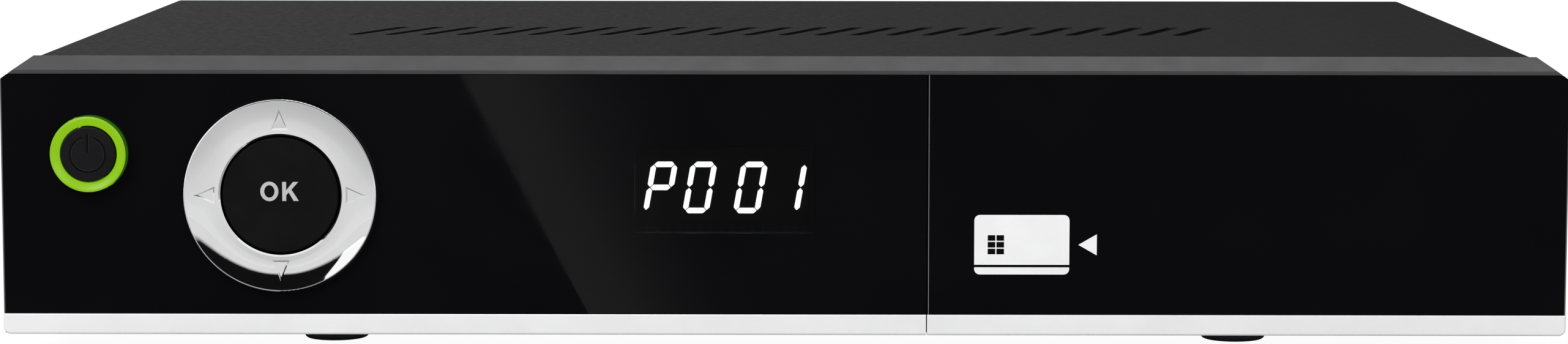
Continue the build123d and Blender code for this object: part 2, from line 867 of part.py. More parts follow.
def make_button(radius, face, thickness, edge, rest_top):
    """A round cap with a stem that rests on its key's plunger, drawn about x = z = 0."""
    back = face + thickness
    section = [(0, face), (radius - edge, face), (radius, face + edge), (radius, back), (0, back)]
    return turned_y(section, 0, 0) + rod_y(0, 0, stem_radius, back - 0.2, rest_top)


def make_key(x, z, plunger_hole):
    """A key switch standing on the front board; its plunger is a separate piece."""
    half = switch_size / 2
    body = block(x - half, x + half, key_face, board_depth, z - half, z + half)
    return body - rod_y(x, z, plunger_hole, key_face - 1, board_depth - 0.6)


def make_plunger(x, z, travel):
    """The plunger of a key, with room behind it for its travel."""
    return rod_y(x, z, plunger_radius, key_top, board_depth - 0.6 - travel - 0.2)


ok_button = make_button(ok_radius, ok_face, ok_thickness, ok_edge, key_top)
keep("ok_button", Pos(ring_x, 0, ring_z) * ok_button)
keep("ok_key", make_key(ring_x, ring_z, plunger_radius + plunger_gap))
keep("ok_key_plunger", make_plunger(ring_x, ring_z, ok_travel))

power_radius = light_ring_bore - power_gap
power_cap_length = light_ring_proud + web_back
power_button = make_button(power_radius, -light_ring_proud, power_cap_length, 0.2, key_top)
keep("power_button", Pos(power_x, 0, power_z) * power_button)
keep("power_key", make_key(power_x, power_z, plunger_radius + plunger_gap))
keep("power_key_plunger", make_plunger(power_x, power_z, power_travel))


def make_light_ring():
    """The light pipe round the power button, held by a flange behind the frame's web."""
    flange_front = web_back
    flange_back = web_back + 1.0
    pipe_back = key_face - 1.0
    pipe_outer = light_ring_radius - 0.4
    section = [
        (light_ring_bore, light_ring_dish - light_ring_proud),
        (light_ring_radius - 0.35, -light_ring_proud),
        (light_ring_radius, 0.3 - light_ring_proud),
        (light_ring_radius, flange_front),
        (light_ring_flange, flange_front),
        (light_ring_flange, flange_back),
        (pipe_outer, flange_back),
        (pipe_outer, pipe_back),
        (light_ring_bore, pipe_back),
    ]
    return turned_y(section, power_x, power_z)


keep("power_light_ring", make_light_ring())

nav_keys = []
for quarter in range(4):
    angle = math.radians(90 * quarter)
    x = ring_x + post_circle * math.cos(angle)
    z = ring_z + post_circle * math.sin(angle)
    half = switch_size / 2
    key = block(x - half, x + half, key_face, board_depth, z - half, z + half)
    nav_keys.append(key + rod_y(x, z, plunger_radius, key_top, key_face))
keep("nav_keys", Compound(children=nav_keys))


# ---------------------------------------------------------------- display, receiver eye, front board

def segment(x0, z0, x1, z1):
    """One lit bar between two points, with pointed ends, as a front-view outline."""
    length = math.hypot(x1 - x0, z1 - z0)
    ux = (x1 - x0) / length
    uz = (z1 - z0) / length
    half = segment_width / 2
    trim = segment_gap / 2 * math.sqrt(2)
    start = (x0 + ux * trim, z0 + uz * trim)
    end = (x1 - ux * trim, z1 - uz * trim)
    corners = []
    for base, away in ((start, 1), (end, -1)):
        shoulder = (base[0] + away * ux * half, base[1] + away * uz * half)
        corners += [
            (shoulder[0] + away * uz * half, shoulder[1] - away * ux * half),
            base,
            (shoulder[0] - away * uz * half, shoulder[1] + away * ux * half),
        ]
    return corners


def digit_segments(character):
    """The lit segments of one upright digit, drawn from its lower left corner."""
    half = segment_width / 2
    left = half
    right = digit_width - half
    low = half
    high = digit_height - half
    middle = digit_height / 2
    bars = {
        "a": (left, high, right, high),
        "b": (right, middle, right, high),
        "c": (right, low, right, middle),
        "d": (left, low, right, low),
        "e": (left, low, left, middle),
        "f": (left, middle, left, high),
        "g": (left, middle, right, middle),
    }
    lit = {"P": "abefg", "0": "abcdef", "1": "bc"}[character]
    return [segment(*bars[name]) for name in lit]


digit_offsets = [0.0, digit_pitch, digit_pitch + clock_pitch, 2 * digit_pitch + clock_pitch]


def make_digits(text):
    """The lit segments of the whole display, slanted and set on the module's face."""
    lean = math.tan(math.radians(digit_slant))
    lit = []
    for character, offset in zip(text, digit_offsets):
        for corners in digit_segments(character):
            slanted = [
                (digit_left + offset + x + z * lean, digit_bottom + z) for x, z in corners
            ]
            face = make_face(Polyline(*slanted, close=True))
            lit.append(plate(face, module_front - segment_relief, module_front))
    return Compound(children=lit)


keep("display_digits", make_digits("P001"))
keep(
    "display_module",
    plate(
        Pos(module_centre_x, module_centre_z) * Rectangle(module_width, module_height),
        module_front,
        board_depth,
    ),
)

eye_radius = 2.5
eye_front = web_front + 1.2
eye = block(ir_x - 3.2, ir_x + 3.2, eye_front + 1.4, board_depth, ir_z - 3.4, ir_z + 3.4)
eye += Pos(ir_x, eye_front + 1.4, ir_z) * Sphere(eye_radius) & block(
    ir_x - 4, ir_x + 4, eye_front - 2, eye_front + 2, ir_z - 4, ir_z + 4
)
keep("remote_eye", eye)

board_left = wall - inner_half + 0.6
board_right = seam_x - wall - 0.6
board_low = chassis_floor + sheet_gap + wall + 0.6
board_high = inner_top - wall - 0.6
front_board = block(board_left, board_right, board_depth, board_back, board_low, board_high)
for x, z in board_posts:
    front_board -= rod_y(x, z, screw_radius + screw_gap, board_depth - 1, board_back + 1)
keep("front_board", front_board)

led_radius_at = (light_ring_bore + light_ring_radius - 0.4) / 2
leds = []
for quarter in range(4):
    angle = math.radians(45 + 90 * quarter)
    x = power_x + led_radius_at * math.cos(angle)
    z = power_z + led_radius_at * math.sin(angle)
    leds.append(block(x - 0.6, x + 0.6, board_depth - 0.8, board_depth, z - 0.6, z + 0.6))
keep("power_leds", Compound(children=leds))

board_screws = []
for x, z in board_posts:
    board_screws.append(Pos(x, board_back, z) * Rot(-90, 0, 0) * screw(board_back - web_back - 1.5))
keep("front_board_screws", Compound(children=board_screws))

frame_screws = []
for x in frame_screw_x:
    frame_screws.append(Pos(x, frame_screw_y, chassis_bottom) * Rot(180, 0, 0) * screw(frame_screw_length))
keep("frame_screws", Compound(children=frame_screws))


# ---------------------------------------------------------------- main board and what stands on it

def make_main_board():
    """The main board; its right part reaches forward to the sockets behind the flap."""
    outline = [
        (pcb_left, pcb_front),
        (pcb_step_x, pcb_front),
        (pcb_step_x, pcb_front_right),
        (pcb_right, pcb_front_right),
        (pcb_right, pcb_rear),
        (pcb_left, pcb_rear),
    ]
    board = extrude(make_face(Polyline(*outline, close=True)), amount=pcb_thickness)
    board = Pos(0, 0, pcb_bottom) * board
    for x, y in standoffs:
        board -= rod_z(x, y, screw_radius + screw_gap, pcb_bottom - 1, pcb_top + 1)
    return board


keep("main_board", make_main_board())
keep(
    "main_board_screws",
    Compound(
        children=[
            Pos(x, y, pcb_top) * screw(pcb_thickness + board_screw_grip) for x, y in standoffs
        ]
    ),
)


def on_board(x, y, width, depth, height):
    """A block standing on the main board, centred at x, with its rear face at y."""
    return block(x - width / 2, x + width / 2, y - depth, y, pcb_top, pcb_top + height)


def panel_hole(name, x, z, width, height):
    """Notes a rectangular cut-out in the rear panel."""
    rear_ports[name] = Pos(x, z) * Rectangle(width + 2 * port_gap, height + 2 * port_gap)


def panel_round(name, x, z, radius):
    """Notes a round cut-out in the rear panel."""
    rear_ports[name] = Pos(x, z) * Circle(radius + port_gap)


# tuner can with its two threaded aerial sockets
tuner_rear = panel_inner - sheet_gap
f_z = pcb_top + tuner_height / 2
tuner = on_board(tuner_x, tuner_rear, tuner_width, tuner_depth, tuner_height)
tuner = fillet(tuner.edges().filter_by(Axis.Z), 1.2)
lid_step = 1.0
for x in (tuner_x - tuner_width / 4, tuner_x + tuner_width / 4):
    tuner -= Pos(x, tuner_rear - tuner_depth / 2, pcb_top + tuner_height) * Box(
        tuner_width / 2 - 6, tuner_depth - 12, lid_step
    )
keep("tuner_can", tuner)


def make_f_socket(x):
    """A threaded aerial socket, screwed to the rear panel by its hexagon."""
    end = panel_outer + f_length
    body = turned_y(
        [
            (0, tuner_rear),
            (f_thread_radius, tuner_rear),
            (f_thread_radius, end - 0.5),
            (f_thread_radius - 0.5, end),
            (f_bore, end),
            (f_bore, end - 0.8),
            (0.6, end - 0.8),
            (0.6, end - 8),
            (0, end - 8),
        ],
        x,
        f_z,
    )
    hexagon = Pos(x, f_z) * RegularPolygon(f_flats / 2, 6, major_radius=False)
    return body + plate(hexagon, panel_outer, panel_outer + f_nut)


for name, x in (
    ("aerial_input_socket", tuner_x + f_spacing / 2),
    ("aerial_output_socket", tuner_x - f_spacing / 2),
):
    keep(name, make_f_socket(x))
    rear_ports[name] = Pos(x, f_z) * Circle(f_thread_radius + fit_gap)

# digital picture socket
hdmi_height = 5.6
port_face = panel_outer + 0.4
hdmi = on_board(hdmi_x, port_face, hdmi_width, 11.5, hdmi_height)
hdmi_mouth = [(-6.8, 4.9), (6.8, 4.9), (6.8, 2.4), (5.2, 0.7), (-5.2, 0.7), (-6.8, 2.4)]
mouth = Pos(hdmi_x, pcb_top) * make_face(Polyline(*hdmi_mouth, close=True))
hdmi -= plate(mouth, port_face - 9.0, port_face + 1)
hdmi += on_board(hdmi_x, port_face - 1.5, 10.0, 8.5, 3.4) - on_board(
    hdmi_x, port_face - 1.5, 10.2, 9.0, 2.4
)
keep("picture_socket", hdmi)
panel_hole("picture_socket", hdmi_x, pcb_top + hdmi_height / 2, hdmi_width, hdmi_height)

# network socket
lan_depth = 21.3
lan_height = 13.4
lan_mouth_width = 11.8
lan_mouth_height = 7.0
lan_mouth_low = 2.4
lan_mouth_depth = 13.0
lan = on_board(lan_x, port_face, lan_width, lan_depth, lan_height)
lan -= block(
    lan_x - lan_mouth_width / 2,
    lan_x + lan_mouth_width / 2,
    port_face - lan_mouth_depth,
    port_face + 1,
    pcb_top + lan_mouth_low,
    pcb_top + lan_mouth_low + lan_mouth_height,
)
lan -= block(
    lan_x - 3.0,
    lan_x + 3.0,
    port_face - lan_mouth_depth,
    port_face + 1,
    pcb_top + lan_mouth_low + lan_mouth_height - 0.1,
    pcb_top + lan_mouth_low + lan_mouth_height + 2.2,
)
keep("network_socket", lan)
panel_hole("network_socket", lan_x, pcb_top + lan_height / 2, lan_width, lan_height)

# serial bus sockets, one behind the flap and one at the rear
usb_depth = 14.0
usb_metal = 0.35
tongue_height = 1.8


def make_usb(x, z, face_y, inward):
    """A serial bus socket: a folded shell with its tongue; inward is +1 or -1 along Y."""
    y0, y1 = sorted((face_y, face_y + inward * usb_depth))
    shell = block(
        x - usb_shell_width / 2,
        x + usb_shell_width / 2,
        y0,
        y1,
        z - usb_shell_height / 2,
        z + usb_shell_height / 2,
    )
    m0, m1 = sorted((face_y - inward, face_y + inward * (usb_depth - 3)))
    shell -= block(
        x - usb_shell_width / 2 + usb_metal,
        x + usb_shell_width / 2 - usb_metal,
        m0,
        m1,
        z - usb_shell_height / 2 + usb_metal,
        z + usb_shell_height / 2 - usb_metal,
    )
    t0, t1 = sorted((face_y + inward * 0.8, face_y + inward * (usb_depth - 2)))
    top = z + usb_shell_height / 2 - 1.1
    return shell + block(x - 5.5, x + 5.5, t0, t1, top - tongue_height, top)


usb_rear_z = pcb_top + usb_shell_height / 2
keep("front_bus_socket", make_usb(usb_front_x, usb_front_z, bay_depth, 1))
keep("rear_bus_socket", make_usb(usb_rear_x, usb_rear_z, port_face, -1))
panel_hole("rear_bus_socket", usb_rear_x, usb_rear_z, usb_shell_width, usb_shell_height)

# optical sound socket
optical_depth = 13.0
optical_mouth = 3.1         # half width of its square mouth
optical_mouth_depth = 7.0
optical_z = pcb_top + optical_size / 2
optical = on_board(optical_x, port_face, optical_size, optical_depth, optical_size)
optical -= block(
    optical_x - optical_mouth,
    optical_x + optical_mouth,
    port_face - optical_mouth_depth,
    port_face + 1,
    optical_z - optical_mouth,
    optical_z + optical_mouth,
)
optical_lens = rod_y(
    optical_x, optical_z, 1.2, port_face - optical_mouth_depth - 0.1, port_face - 4.0
)
keep("optical_socket", optical + optical_lens)
panel_hole("optical_socket", optical_x, optical_z, optical_size, optical_size)

# three round sound and picture sockets on one block
rca_z = pcb_top + 7.0
rca_block_height = 13.0
rca_block_depth = 12.0
rca_seat = panel_inner - sheet_gap
rca_body = on_board(
    rca_x, rca_seat, 2 * (rca_pitch + rca_end), rca_block_depth, rca_block_height
)
rca_pin_bore = 1.7
rca_barrels = []
for step in (-1, 0, 1):
    x = rca_x + step * rca_pitch
    panel_round("round_socket_%d" % (step + 2), x, rca_z, rca_radius + rca_flange)
    barrel = turned_y(
        [
            (rca_pin_bore, rca_seat - rca_grip),
            (rca_pin_bore, panel_outer + rca_length - 0.2),
            (rca_radius - 0.5, panel_outer + rca_length - 0.2),
            (rca_radius - 0.5, panel_outer + rca_length),
            (rca_radius, panel_outer + rca_length),
            (rca_radius, panel_outer + 1.4),
            (rca_radius + rca_flange, panel_outer + 1.4),
            (rca_radius + rca_flange, rca_seat),
            (rca_radius, rca_seat),
            (rca_radius, rca_seat - rca_grip),
        ],
        x,
        rca_z,
    )
    rca_body -= rod_y(x, rca_z, rca_radius, rca_seat - rca_grip, panel_outer)
    rca_barrels.append(barrel)
keep("round_socket_block", rca_body)
keep("round_sockets", Compound(children=rca_barrels))

# low-voltage supply socket
dc_height = 11.0
dc_radius = 3.1
dc_z = pcb_top + 6.4
dc = on_board(dc_x, port_face, dc_width, 14.0, dc_height)
dc -= rod_y(dc_x, dc_z, dc_radius, port_face - 9.5, port_face + 1)
dc += rod_y(dc_x, dc_z, 1.0, port_face - 9.6, port_face - 0.8)
keep("supply_socket", dc)
panel_hole("supply_socket", dc_x, pcb_top + dc_height / 2, dc_width, dc_height)

# card reader behind the flap
reader_depth = 52.0
reader_height = 5.2
card_width = 54.4
card_mouth = 1.2
reader_front = tongue_back + 0.2
reader = block(
    card_x - reader_width / 2,
    card_x + reader_width / 2,
    reader_front,
    reader_front + reader_depth,
    pcb_top,
    pcb_top + reader_height,
)
reader += block(
    card_x - card_slot_width / 2,
    card_x + card_slot_width / 2,
    bay_depth,
    reader_front + 0.1,
    card_slot_z - card_slot_height / 2,
    card_slot_z + card_slot_height / 2,
)
reader -= block(
    card_x - card_width / 2,
    card_x + card_width / 2,
    bay_depth - 1,
    reader_front + reader_depth - 4,
    card_slot_z - card_mouth / 2,
    card_slot_z + card_mouth / 2,
)
keep("card_reader", reader)

# processor under a finned heat sink
chip_height = 2.2
sink_base = 3.0
fin_height = 13.0
fin_thickness = 1.3
fin_count = 9
keep("processor", on_board(chip_x, chip_rear_y, chip_size, chip_size, chip_height))
sink_low = pcb_top + chip_height
sink = block(
    chip_x - sink_size / 2,
    chip_x + sink_size / 2,
    sink_mid_y - sink_size / 2,
    sink_mid_y + sink_size / 2,
    sink_low,
    sink_low + sink_base,
)
fin_step = (sink_size - fin_thickness) / (fin_count - 1)
for i in range(fin_count):
    fin_x = chip_x - sink_size / 2 + i * fin_step
    sink += block(
        fin_x,
        fin_x + fin_thickness,
        sink_mid_y - sink_size / 2,
        sink_mid_y + sink_size / 2,
        sink_low + sink_base - 0.1,
        sink_low + sink_base + fin_height,
    )
keep("heat_sink", sink)

memory_width = 12.0
memory_depth = 9.0
memory_thickness = 1.2
memory_step = 15.0
flash_width = 20.0
flash_depth = 12.0
memory_gap = 8.0            # from the heat sink's left side
memory_rear = sink_mid_y
memory_x = chip_x - sink_size / 2 - memory_gap - memory_width / 2
memory = []
for row in range(2):
    chip_y = memory_rear - row * memory_step
    memory.append(on_board(memory_x, chip_y, memory_width, memory_depth, memory_thickness))
flash_y = memory_rear - 2 * memory_step
memory.append(on_board(memory_x, flash_y, flash_width, flash_depth, memory_thickness))
keep("memory_chips", Compound(children=memory))

can_radius = 4.0
can_height = 12.5
can_pitch_x = 12.0
can_pitch_y = 16.0
can_in_x = 16.0             # first capacitor from the board's left end
can_in_y = 26.0             # first capacitor from the board's front edge
coil_size = 10.0
coil_height = 4.8
coil_chamfer = 1.6
capacitor_places = [
    (pcb_left + can_in_x + column * can_pitch_x, pcb_front + can_in_y + row * can_pitch_y)
    for column in range(2)
    for row in range(2)
]
capacitor_places += [
    (pcb_left + can_in_x, pcb_rear - can_in_y - can_pitch_y),
    (pcb_left + can_in_x + 2 * can_pitch_x, pcb_rear - can_in_y),
]
capacitors = []
for x, y in capacitor_places:
    can = rod_z(x, y, can_radius, pcb_top, pcb_top + can_height)
    capacitors.append(fillet(can.edges().filter_by(GeomType.CIRCLE).group_by(Axis.Z)[-1], 0.8))
keep("capacitors", Compound(children=capacitors))

coil_x = pcb_left + can_in_x + can_pitch_x + can_radius + 2 * coil_size
coils = []
for row in range(3):
    coil_rear = pcb_front + can_in_y + row * can_pitch_y + coil_size / 2
    coil = on_board(coil_x, coil_rear, coil_size, coil_size, coil_height)
    coils.append(chamfer(coil.edges().filter_by(Axis.Z), coil_chamfer))
keep("power_coils", Compound(children=coils))

# ribbon between the two boards, with a header at each end
ribbon_x = -24.0
ribbon_width = 20.0
ribbon_thickness = 0.9
header_length = 6.0
front_header_z = 36.0
main_header_y = 44.0
main_header_height = 8.0
ribbon_bend = 5.0
front_header_end = board_back + header_length
main_header_top = pcb_top + main_header_height
header_half = ribbon_width / 2 + 1.5
headers = [
    block(
        ribbon_x - header_half,
        ribbon_x + header_half,
        board_back,
        front_header_end,
        front_header_z - 2.6,
        front_header_z + 2.6,
    ),
    block(
        ribbon_x - header_half,
        ribbon_x + header_half,
        main_header_y - 2.6,
        main_header_y + 2.6,
        pcb_top,
        main_header_top,
    ),
]
keep("ribbon_headers", Compound(children=headers))
ribbon_line = FilletPolyline(
    (front_header_end, front_header_z),
    (main_header_y, front_header_z),
    (main_header_y, main_header_top),
    radius=ribbon_bend,
)
ribbon_face = Plane.YZ.offset(ribbon_x - ribbon_width / 2) * trace(ribbon_line, ribbon_thickness)
keep("ribbon_cable", extrude(ribbon_face, amount=ribbon_width))

# ---------------------------------------------------------------- sheet metal, then the files

keep("base_chassis", make_chassis())
keep("top_cover", make_cover())
keep("cover_screws", make_cover_screws())

os.makedirs("parts", exist_ok=True)
shift = Pos(0, front_shift, 0)
for name, shape in parts.items():
    export_step(shift * shape, os.path.join("parts", name + ".step"))

print("front face at y =", round(front_shift, 3))
print("flap hinge at y, z =", round(front_shift + hinge_back, 3), round(hinge_z, 3))
print("ring pivots at x, y, z =", ring_x, round(front_shift + pivot_depth, 3), round(ring_z, 3))
print("power button at x, z =", power_x, round(power_z, 3))
print("sockets at y =", round(front_shift + panel_outer, 3), "aerial z =", round(f_z, 3))
print("bay: x", bay_left, bay_right, "z", rail_top, bay_top, "wall y", front_shift + bay_depth)
print("main board top z =", round(pcb_top, 3), "rear face y =", round(front_shift + port_face, 3))
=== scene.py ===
import json
import math
import bmesh
import bpy
from mathutils import Matrix, Vector


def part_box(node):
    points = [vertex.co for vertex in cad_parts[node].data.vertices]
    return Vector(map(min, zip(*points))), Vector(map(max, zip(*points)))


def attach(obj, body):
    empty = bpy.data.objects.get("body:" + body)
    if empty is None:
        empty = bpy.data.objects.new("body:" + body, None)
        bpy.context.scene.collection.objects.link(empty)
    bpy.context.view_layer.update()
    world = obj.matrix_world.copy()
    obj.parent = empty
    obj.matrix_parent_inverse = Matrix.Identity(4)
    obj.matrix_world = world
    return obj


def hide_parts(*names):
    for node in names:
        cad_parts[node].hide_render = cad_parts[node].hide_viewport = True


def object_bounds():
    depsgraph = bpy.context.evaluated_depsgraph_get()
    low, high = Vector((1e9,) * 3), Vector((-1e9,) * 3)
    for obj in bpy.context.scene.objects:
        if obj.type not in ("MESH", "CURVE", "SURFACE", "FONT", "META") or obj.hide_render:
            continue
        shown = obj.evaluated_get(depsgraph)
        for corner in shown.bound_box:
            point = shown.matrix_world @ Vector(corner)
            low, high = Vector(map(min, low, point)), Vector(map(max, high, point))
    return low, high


# The looks of a satellite receiver: materials for its CAD pieces, the marks and small pieces that
# ride on them, and the camera, lamps and reflectors it is seen with. Lengths are in metres.

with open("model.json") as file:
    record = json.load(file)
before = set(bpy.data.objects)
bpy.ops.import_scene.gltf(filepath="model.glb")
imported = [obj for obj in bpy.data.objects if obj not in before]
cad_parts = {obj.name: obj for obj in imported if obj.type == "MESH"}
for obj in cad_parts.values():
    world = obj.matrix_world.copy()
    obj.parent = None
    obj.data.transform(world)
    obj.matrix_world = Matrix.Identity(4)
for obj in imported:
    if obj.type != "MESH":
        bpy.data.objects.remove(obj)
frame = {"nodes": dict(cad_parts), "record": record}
cad_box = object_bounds()
nodes = frame["nodes"]

# ---------------------------------------------------------------- places

MM = 0.001


def middle(node):
    """The centre of a node's box."""
    low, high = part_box(node)
    return (Vector(low) + Vector(high)) / 2


face_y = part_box("front_lens")[0][1]     # plane of the glossy front
ring = middle("nav_ring")
ok_face_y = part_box("ok_button")[0][1]
power = middle("power_button")
power_face_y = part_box("power_button")[0][1]
print_gap = 0.02 * MM                   # printed marks stand this proud


# ---------------------------------------------------------------- materials

def srgb(colour):
    """A display colour of three values up to 255 as Blender's linear colour."""
    out = []
    for value in colour:
        c = value / 255
        out.append(c / 12.92 if c <= 0.04045 else ((c + 0.055) / 1.055) ** 2.4)
    return (*out, 1.0)


class Shader:
    """Builds one procedural material round a Principled shader.

    Colours are display colours, a noise's scale counts its features along a metre, and a
    relief's height is in metres.
    """

    def __init__(self, name):
        self.material = bpy.data.materials.new(name)
        self.material.use_nodes = True
        self.tree = self.material.node_tree
        self.principled = self.tree.nodes["Principled BSDF"]
        self.place = self.node("ShaderNodeTexCoord").outputs["Object"]

    def node(self, kind, **values):
        """Adds a node of that kind, with its properties set."""
        made = self.tree.nodes.new(kind)
        for key, value in values.items():
            setattr(made, key, value)
        return made

    def link(self, out, into):
        """Joins an output to an input."""
        self.tree.links.new(out, into)

    def set(self, **values):
        """Sets inputs of the Principled shader, with _ for each space in a name."""
        for key, value in values.items():
            self.principled.inputs[key.replace("_", " ")].default_value = value

    def noise(self, scale, detail=2.0, rough=0.5, stretch=None):
        """A noise value; stretch multiplies the scale along x, y and z."""
        texture = self.node("ShaderNodeTexNoise")
        texture.inputs["Scale"].default_value = scale
        texture.inputs["Detail"].default_value = detail
        texture.inputs["Roughness"].default_value = rough
        where = self.place
        if stretch:
            mapping = self.node("ShaderNodeMapping")
            mapping.inputs["Scale"].default_value = stretch
            self.link(self.place, mapping.inputs["Vector"])
            where = mapping.outputs["Vector"]
        self.link(where, texture.inputs["Vector"])
        return texture.outputs["Fac"]

    def remap(self, out, low, high, start=0.3, end=0.7):
        """Stretches a value from start..end to low..high."""
        scaled = self.node("ShaderNodeMapRange")
        scaled.inputs["From Min"].default_value = start
        scaled.inputs["From Max"].default_value = end
        scaled.inputs["To Min"].default_value = low
        scaled.inputs["To Max"].default_value = high
        self.link(out, scaled.inputs["Value"])
        return scaled.outputs["Result"]

    def blend(self, out, dark, light, start=0.35, end=0.65):
        """A colour between two, by a value."""
        ramp = self.node("ShaderNodeValToRGB")
        ramp.color_ramp.elements[0].position = start
        ramp.color_ramp.elements[1].position = end
        ramp.color_ramp.elements[0].color = srgb(dark)
        ramp.color_ramp.elements[1].color = srgb(light)
        self.link(out, ramp.inputs["Fac"])
        return ramp.outputs["Color"]

    def colours(self, out, dark, light):
        """Base colour between two, by a value."""
        self.link(self.blend(out, dark, light), self.principled.inputs["Base Color"])

    def roughness(self, out, low, high):
        """Roughness between two, by a value."""
        self.link(self.remap(out, low, high), self.principled.inputs["Roughness"])

    def bump(self, out, height):
        """Surface relief of that height."""
        relief = self.node("ShaderNodeBump")
        relief.inputs["Strength"].default_value = 1.0
        relief.inputs["Distance"].default_value = height
        self.link(out, relief.inputs["Height"])
        self.link(relief.outputs["Normal"], self.principled.inputs["Normal"])


def plastic(name, dark, light, rough, relief=0.02 * MM, specular=0.5):
    """Moulded plastic: a little colour and gloss variation, and a fine moulded grain."""
    patches = 120                   # features along a metre
    gloss_patches = 340
    grain = 9000
    spread = 0.05
    look = Shader(name)
    look.set(Specular_IOR_Level=specular)
    look.colours(look.noise(patches, detail=3), dark, light)
    look.roughness(look.noise(gloss_patches), rough - spread, rough + spread)
    look.bump(look.noise(grain), relief)
    return look.material


def metal(name, dark, light, rough, stretch=(1, 1, 1), grain=2500, relief=0.004 * MM, spread=0.06):
    """Plated or rolled metal, with a fine grain that can run one way."""
    patches = 60                    # features along a metre
    look = Shader(name)
    look.set(Metallic=1.0)
    look.colours(look.noise(patches, detail=4), dark, light)
    look.roughness(look.noise(grain, stretch=stretch), rough - spread, rough + spread)
    look.bump(look.noise(grain, stretch=stretch), relief)
    return look.material


def threaded_nickel():
    """Nickel with a fine screw thread running round the Y axis."""
    pitch = 0.79 * MM
    depth = 0.35 * MM
    look = Shader("threaded_nickel")
    look.set(Metallic=1.0)
    look.colours(look.noise(60, detail=4), (196, 192, 184), (216, 212, 205))
    look.roughness(look.noise(900), 0.12, 0.24)
    thread = look.node("ShaderNodeTexWave", wave_type="BANDS", bands_direction="Y")
    # at a scale of pi / 10 the wave texture repeats once a metre
    thread.inputs["Scale"].default_value = math.pi / 10 / pitch
    look.link(look.place, thread.inputs["Vector"])
    look.bump(thread.outputs["Fac"], depth)
    return look.material


def cover_paint():
    """Fine-textured dark powder coat over steel sheet."""
    look = Shader("cover_paint")
    look.set(Specular_IOR_Level=0.09)
    look.colours(look.noise(2600, detail=3), (28, 27, 28), (34, 33, 33))
    look.roughness(look.noise(700), 0.55, 0.7)
    look.bump(look.noise(3000, detail=3, rough=0.6), 0.06 * MM)
    return look.material


def gloss_black():
    """Piano-gloss black moulding with a barely uneven surface."""
    look = Shader("gloss_black")
    look.colours(look.noise(40), (10, 10, 12), (12, 12, 14))
    look.roughness(look.noise(260, detail=3), 0.02, 0.05)
    look.bump(look.noise(90), 0.001 * MM)
    return look.material


def smoked_window():
    """Smoked insert: black until something lit stands behind it."""
    look = Shader("smoked_window")
    look.set(Transmission_Weight=0.99, IOR=1.45)
    look.colours(look.noise(40), (150, 150, 152), (160, 160, 162))
    look.roughness(look.noise(260, detail=3), 0.0, 0.02)
    return look.material


def lit_ring():
    """Lit green light pipe: bright on the faces that look forward, deeper on its sides."""
    look = Shader("green_light")
    look.set(Roughness=0.35, Emission_Strength=1.0)
    look.colours(look.noise(300), (40, 84, 6), (46, 92, 8))
    normal = look.node("ShaderNodeNewGeometry").outputs["Normal"]
    split = look.node("ShaderNodeSeparateXYZ")
    look.link(normal, split.inputs["Vector"])
    forward = look.remap(split.outputs["Y"], 1.0, 0.0, start=-0.85, end=-0.2)
    glow = look.blend(forward, (34, 74, 8), (137, 185, 20), start=0.1, end=0.9)
    look.link(glow, look.principled.inputs["Emission Color"])
    return look.material


def lit_white():
    """The display's lit bars, a little uneven in brightness."""
    look = Shader("digit_white")
    look.set(Roughness=0.4, Emission_Strength=3.9)
    look.colours(look.noise(300), (236, 236, 236), (244, 244, 244))
    glow = look.blend(look.noise(900), (250, 250, 250), (255, 255, 255))
    look.link(glow, look.principled.inputs["Emission Color"])
    return look.material


def board_green():
    """Solder-masked board with copper tracks under the mask."""
    look = Shader("board_green")
    tracks = look.node("ShaderNodeTexBrick")
    tracks.inputs["Scale"].default_value = 260
    tracks.inputs["Color1"].default_value = srgb((16, 74, 40))
    tracks.inputs["Color2"].default_value = srgb((20, 84, 46))
    tracks.inputs["Mortar"].default_value = srgb((38, 116, 64))
    tracks.inputs["Mortar Size"].default_value = 0.06
    look.link(look.place, tracks.inputs["Vector"])
    look.link(tracks.outputs["Color"], look.principled.inputs["Base Color"])
    look.roughness(look.noise(400), 0.25, 0.4)
    look.bump(tracks.outputs["Fac"], 0.02 * MM)
    return look.material


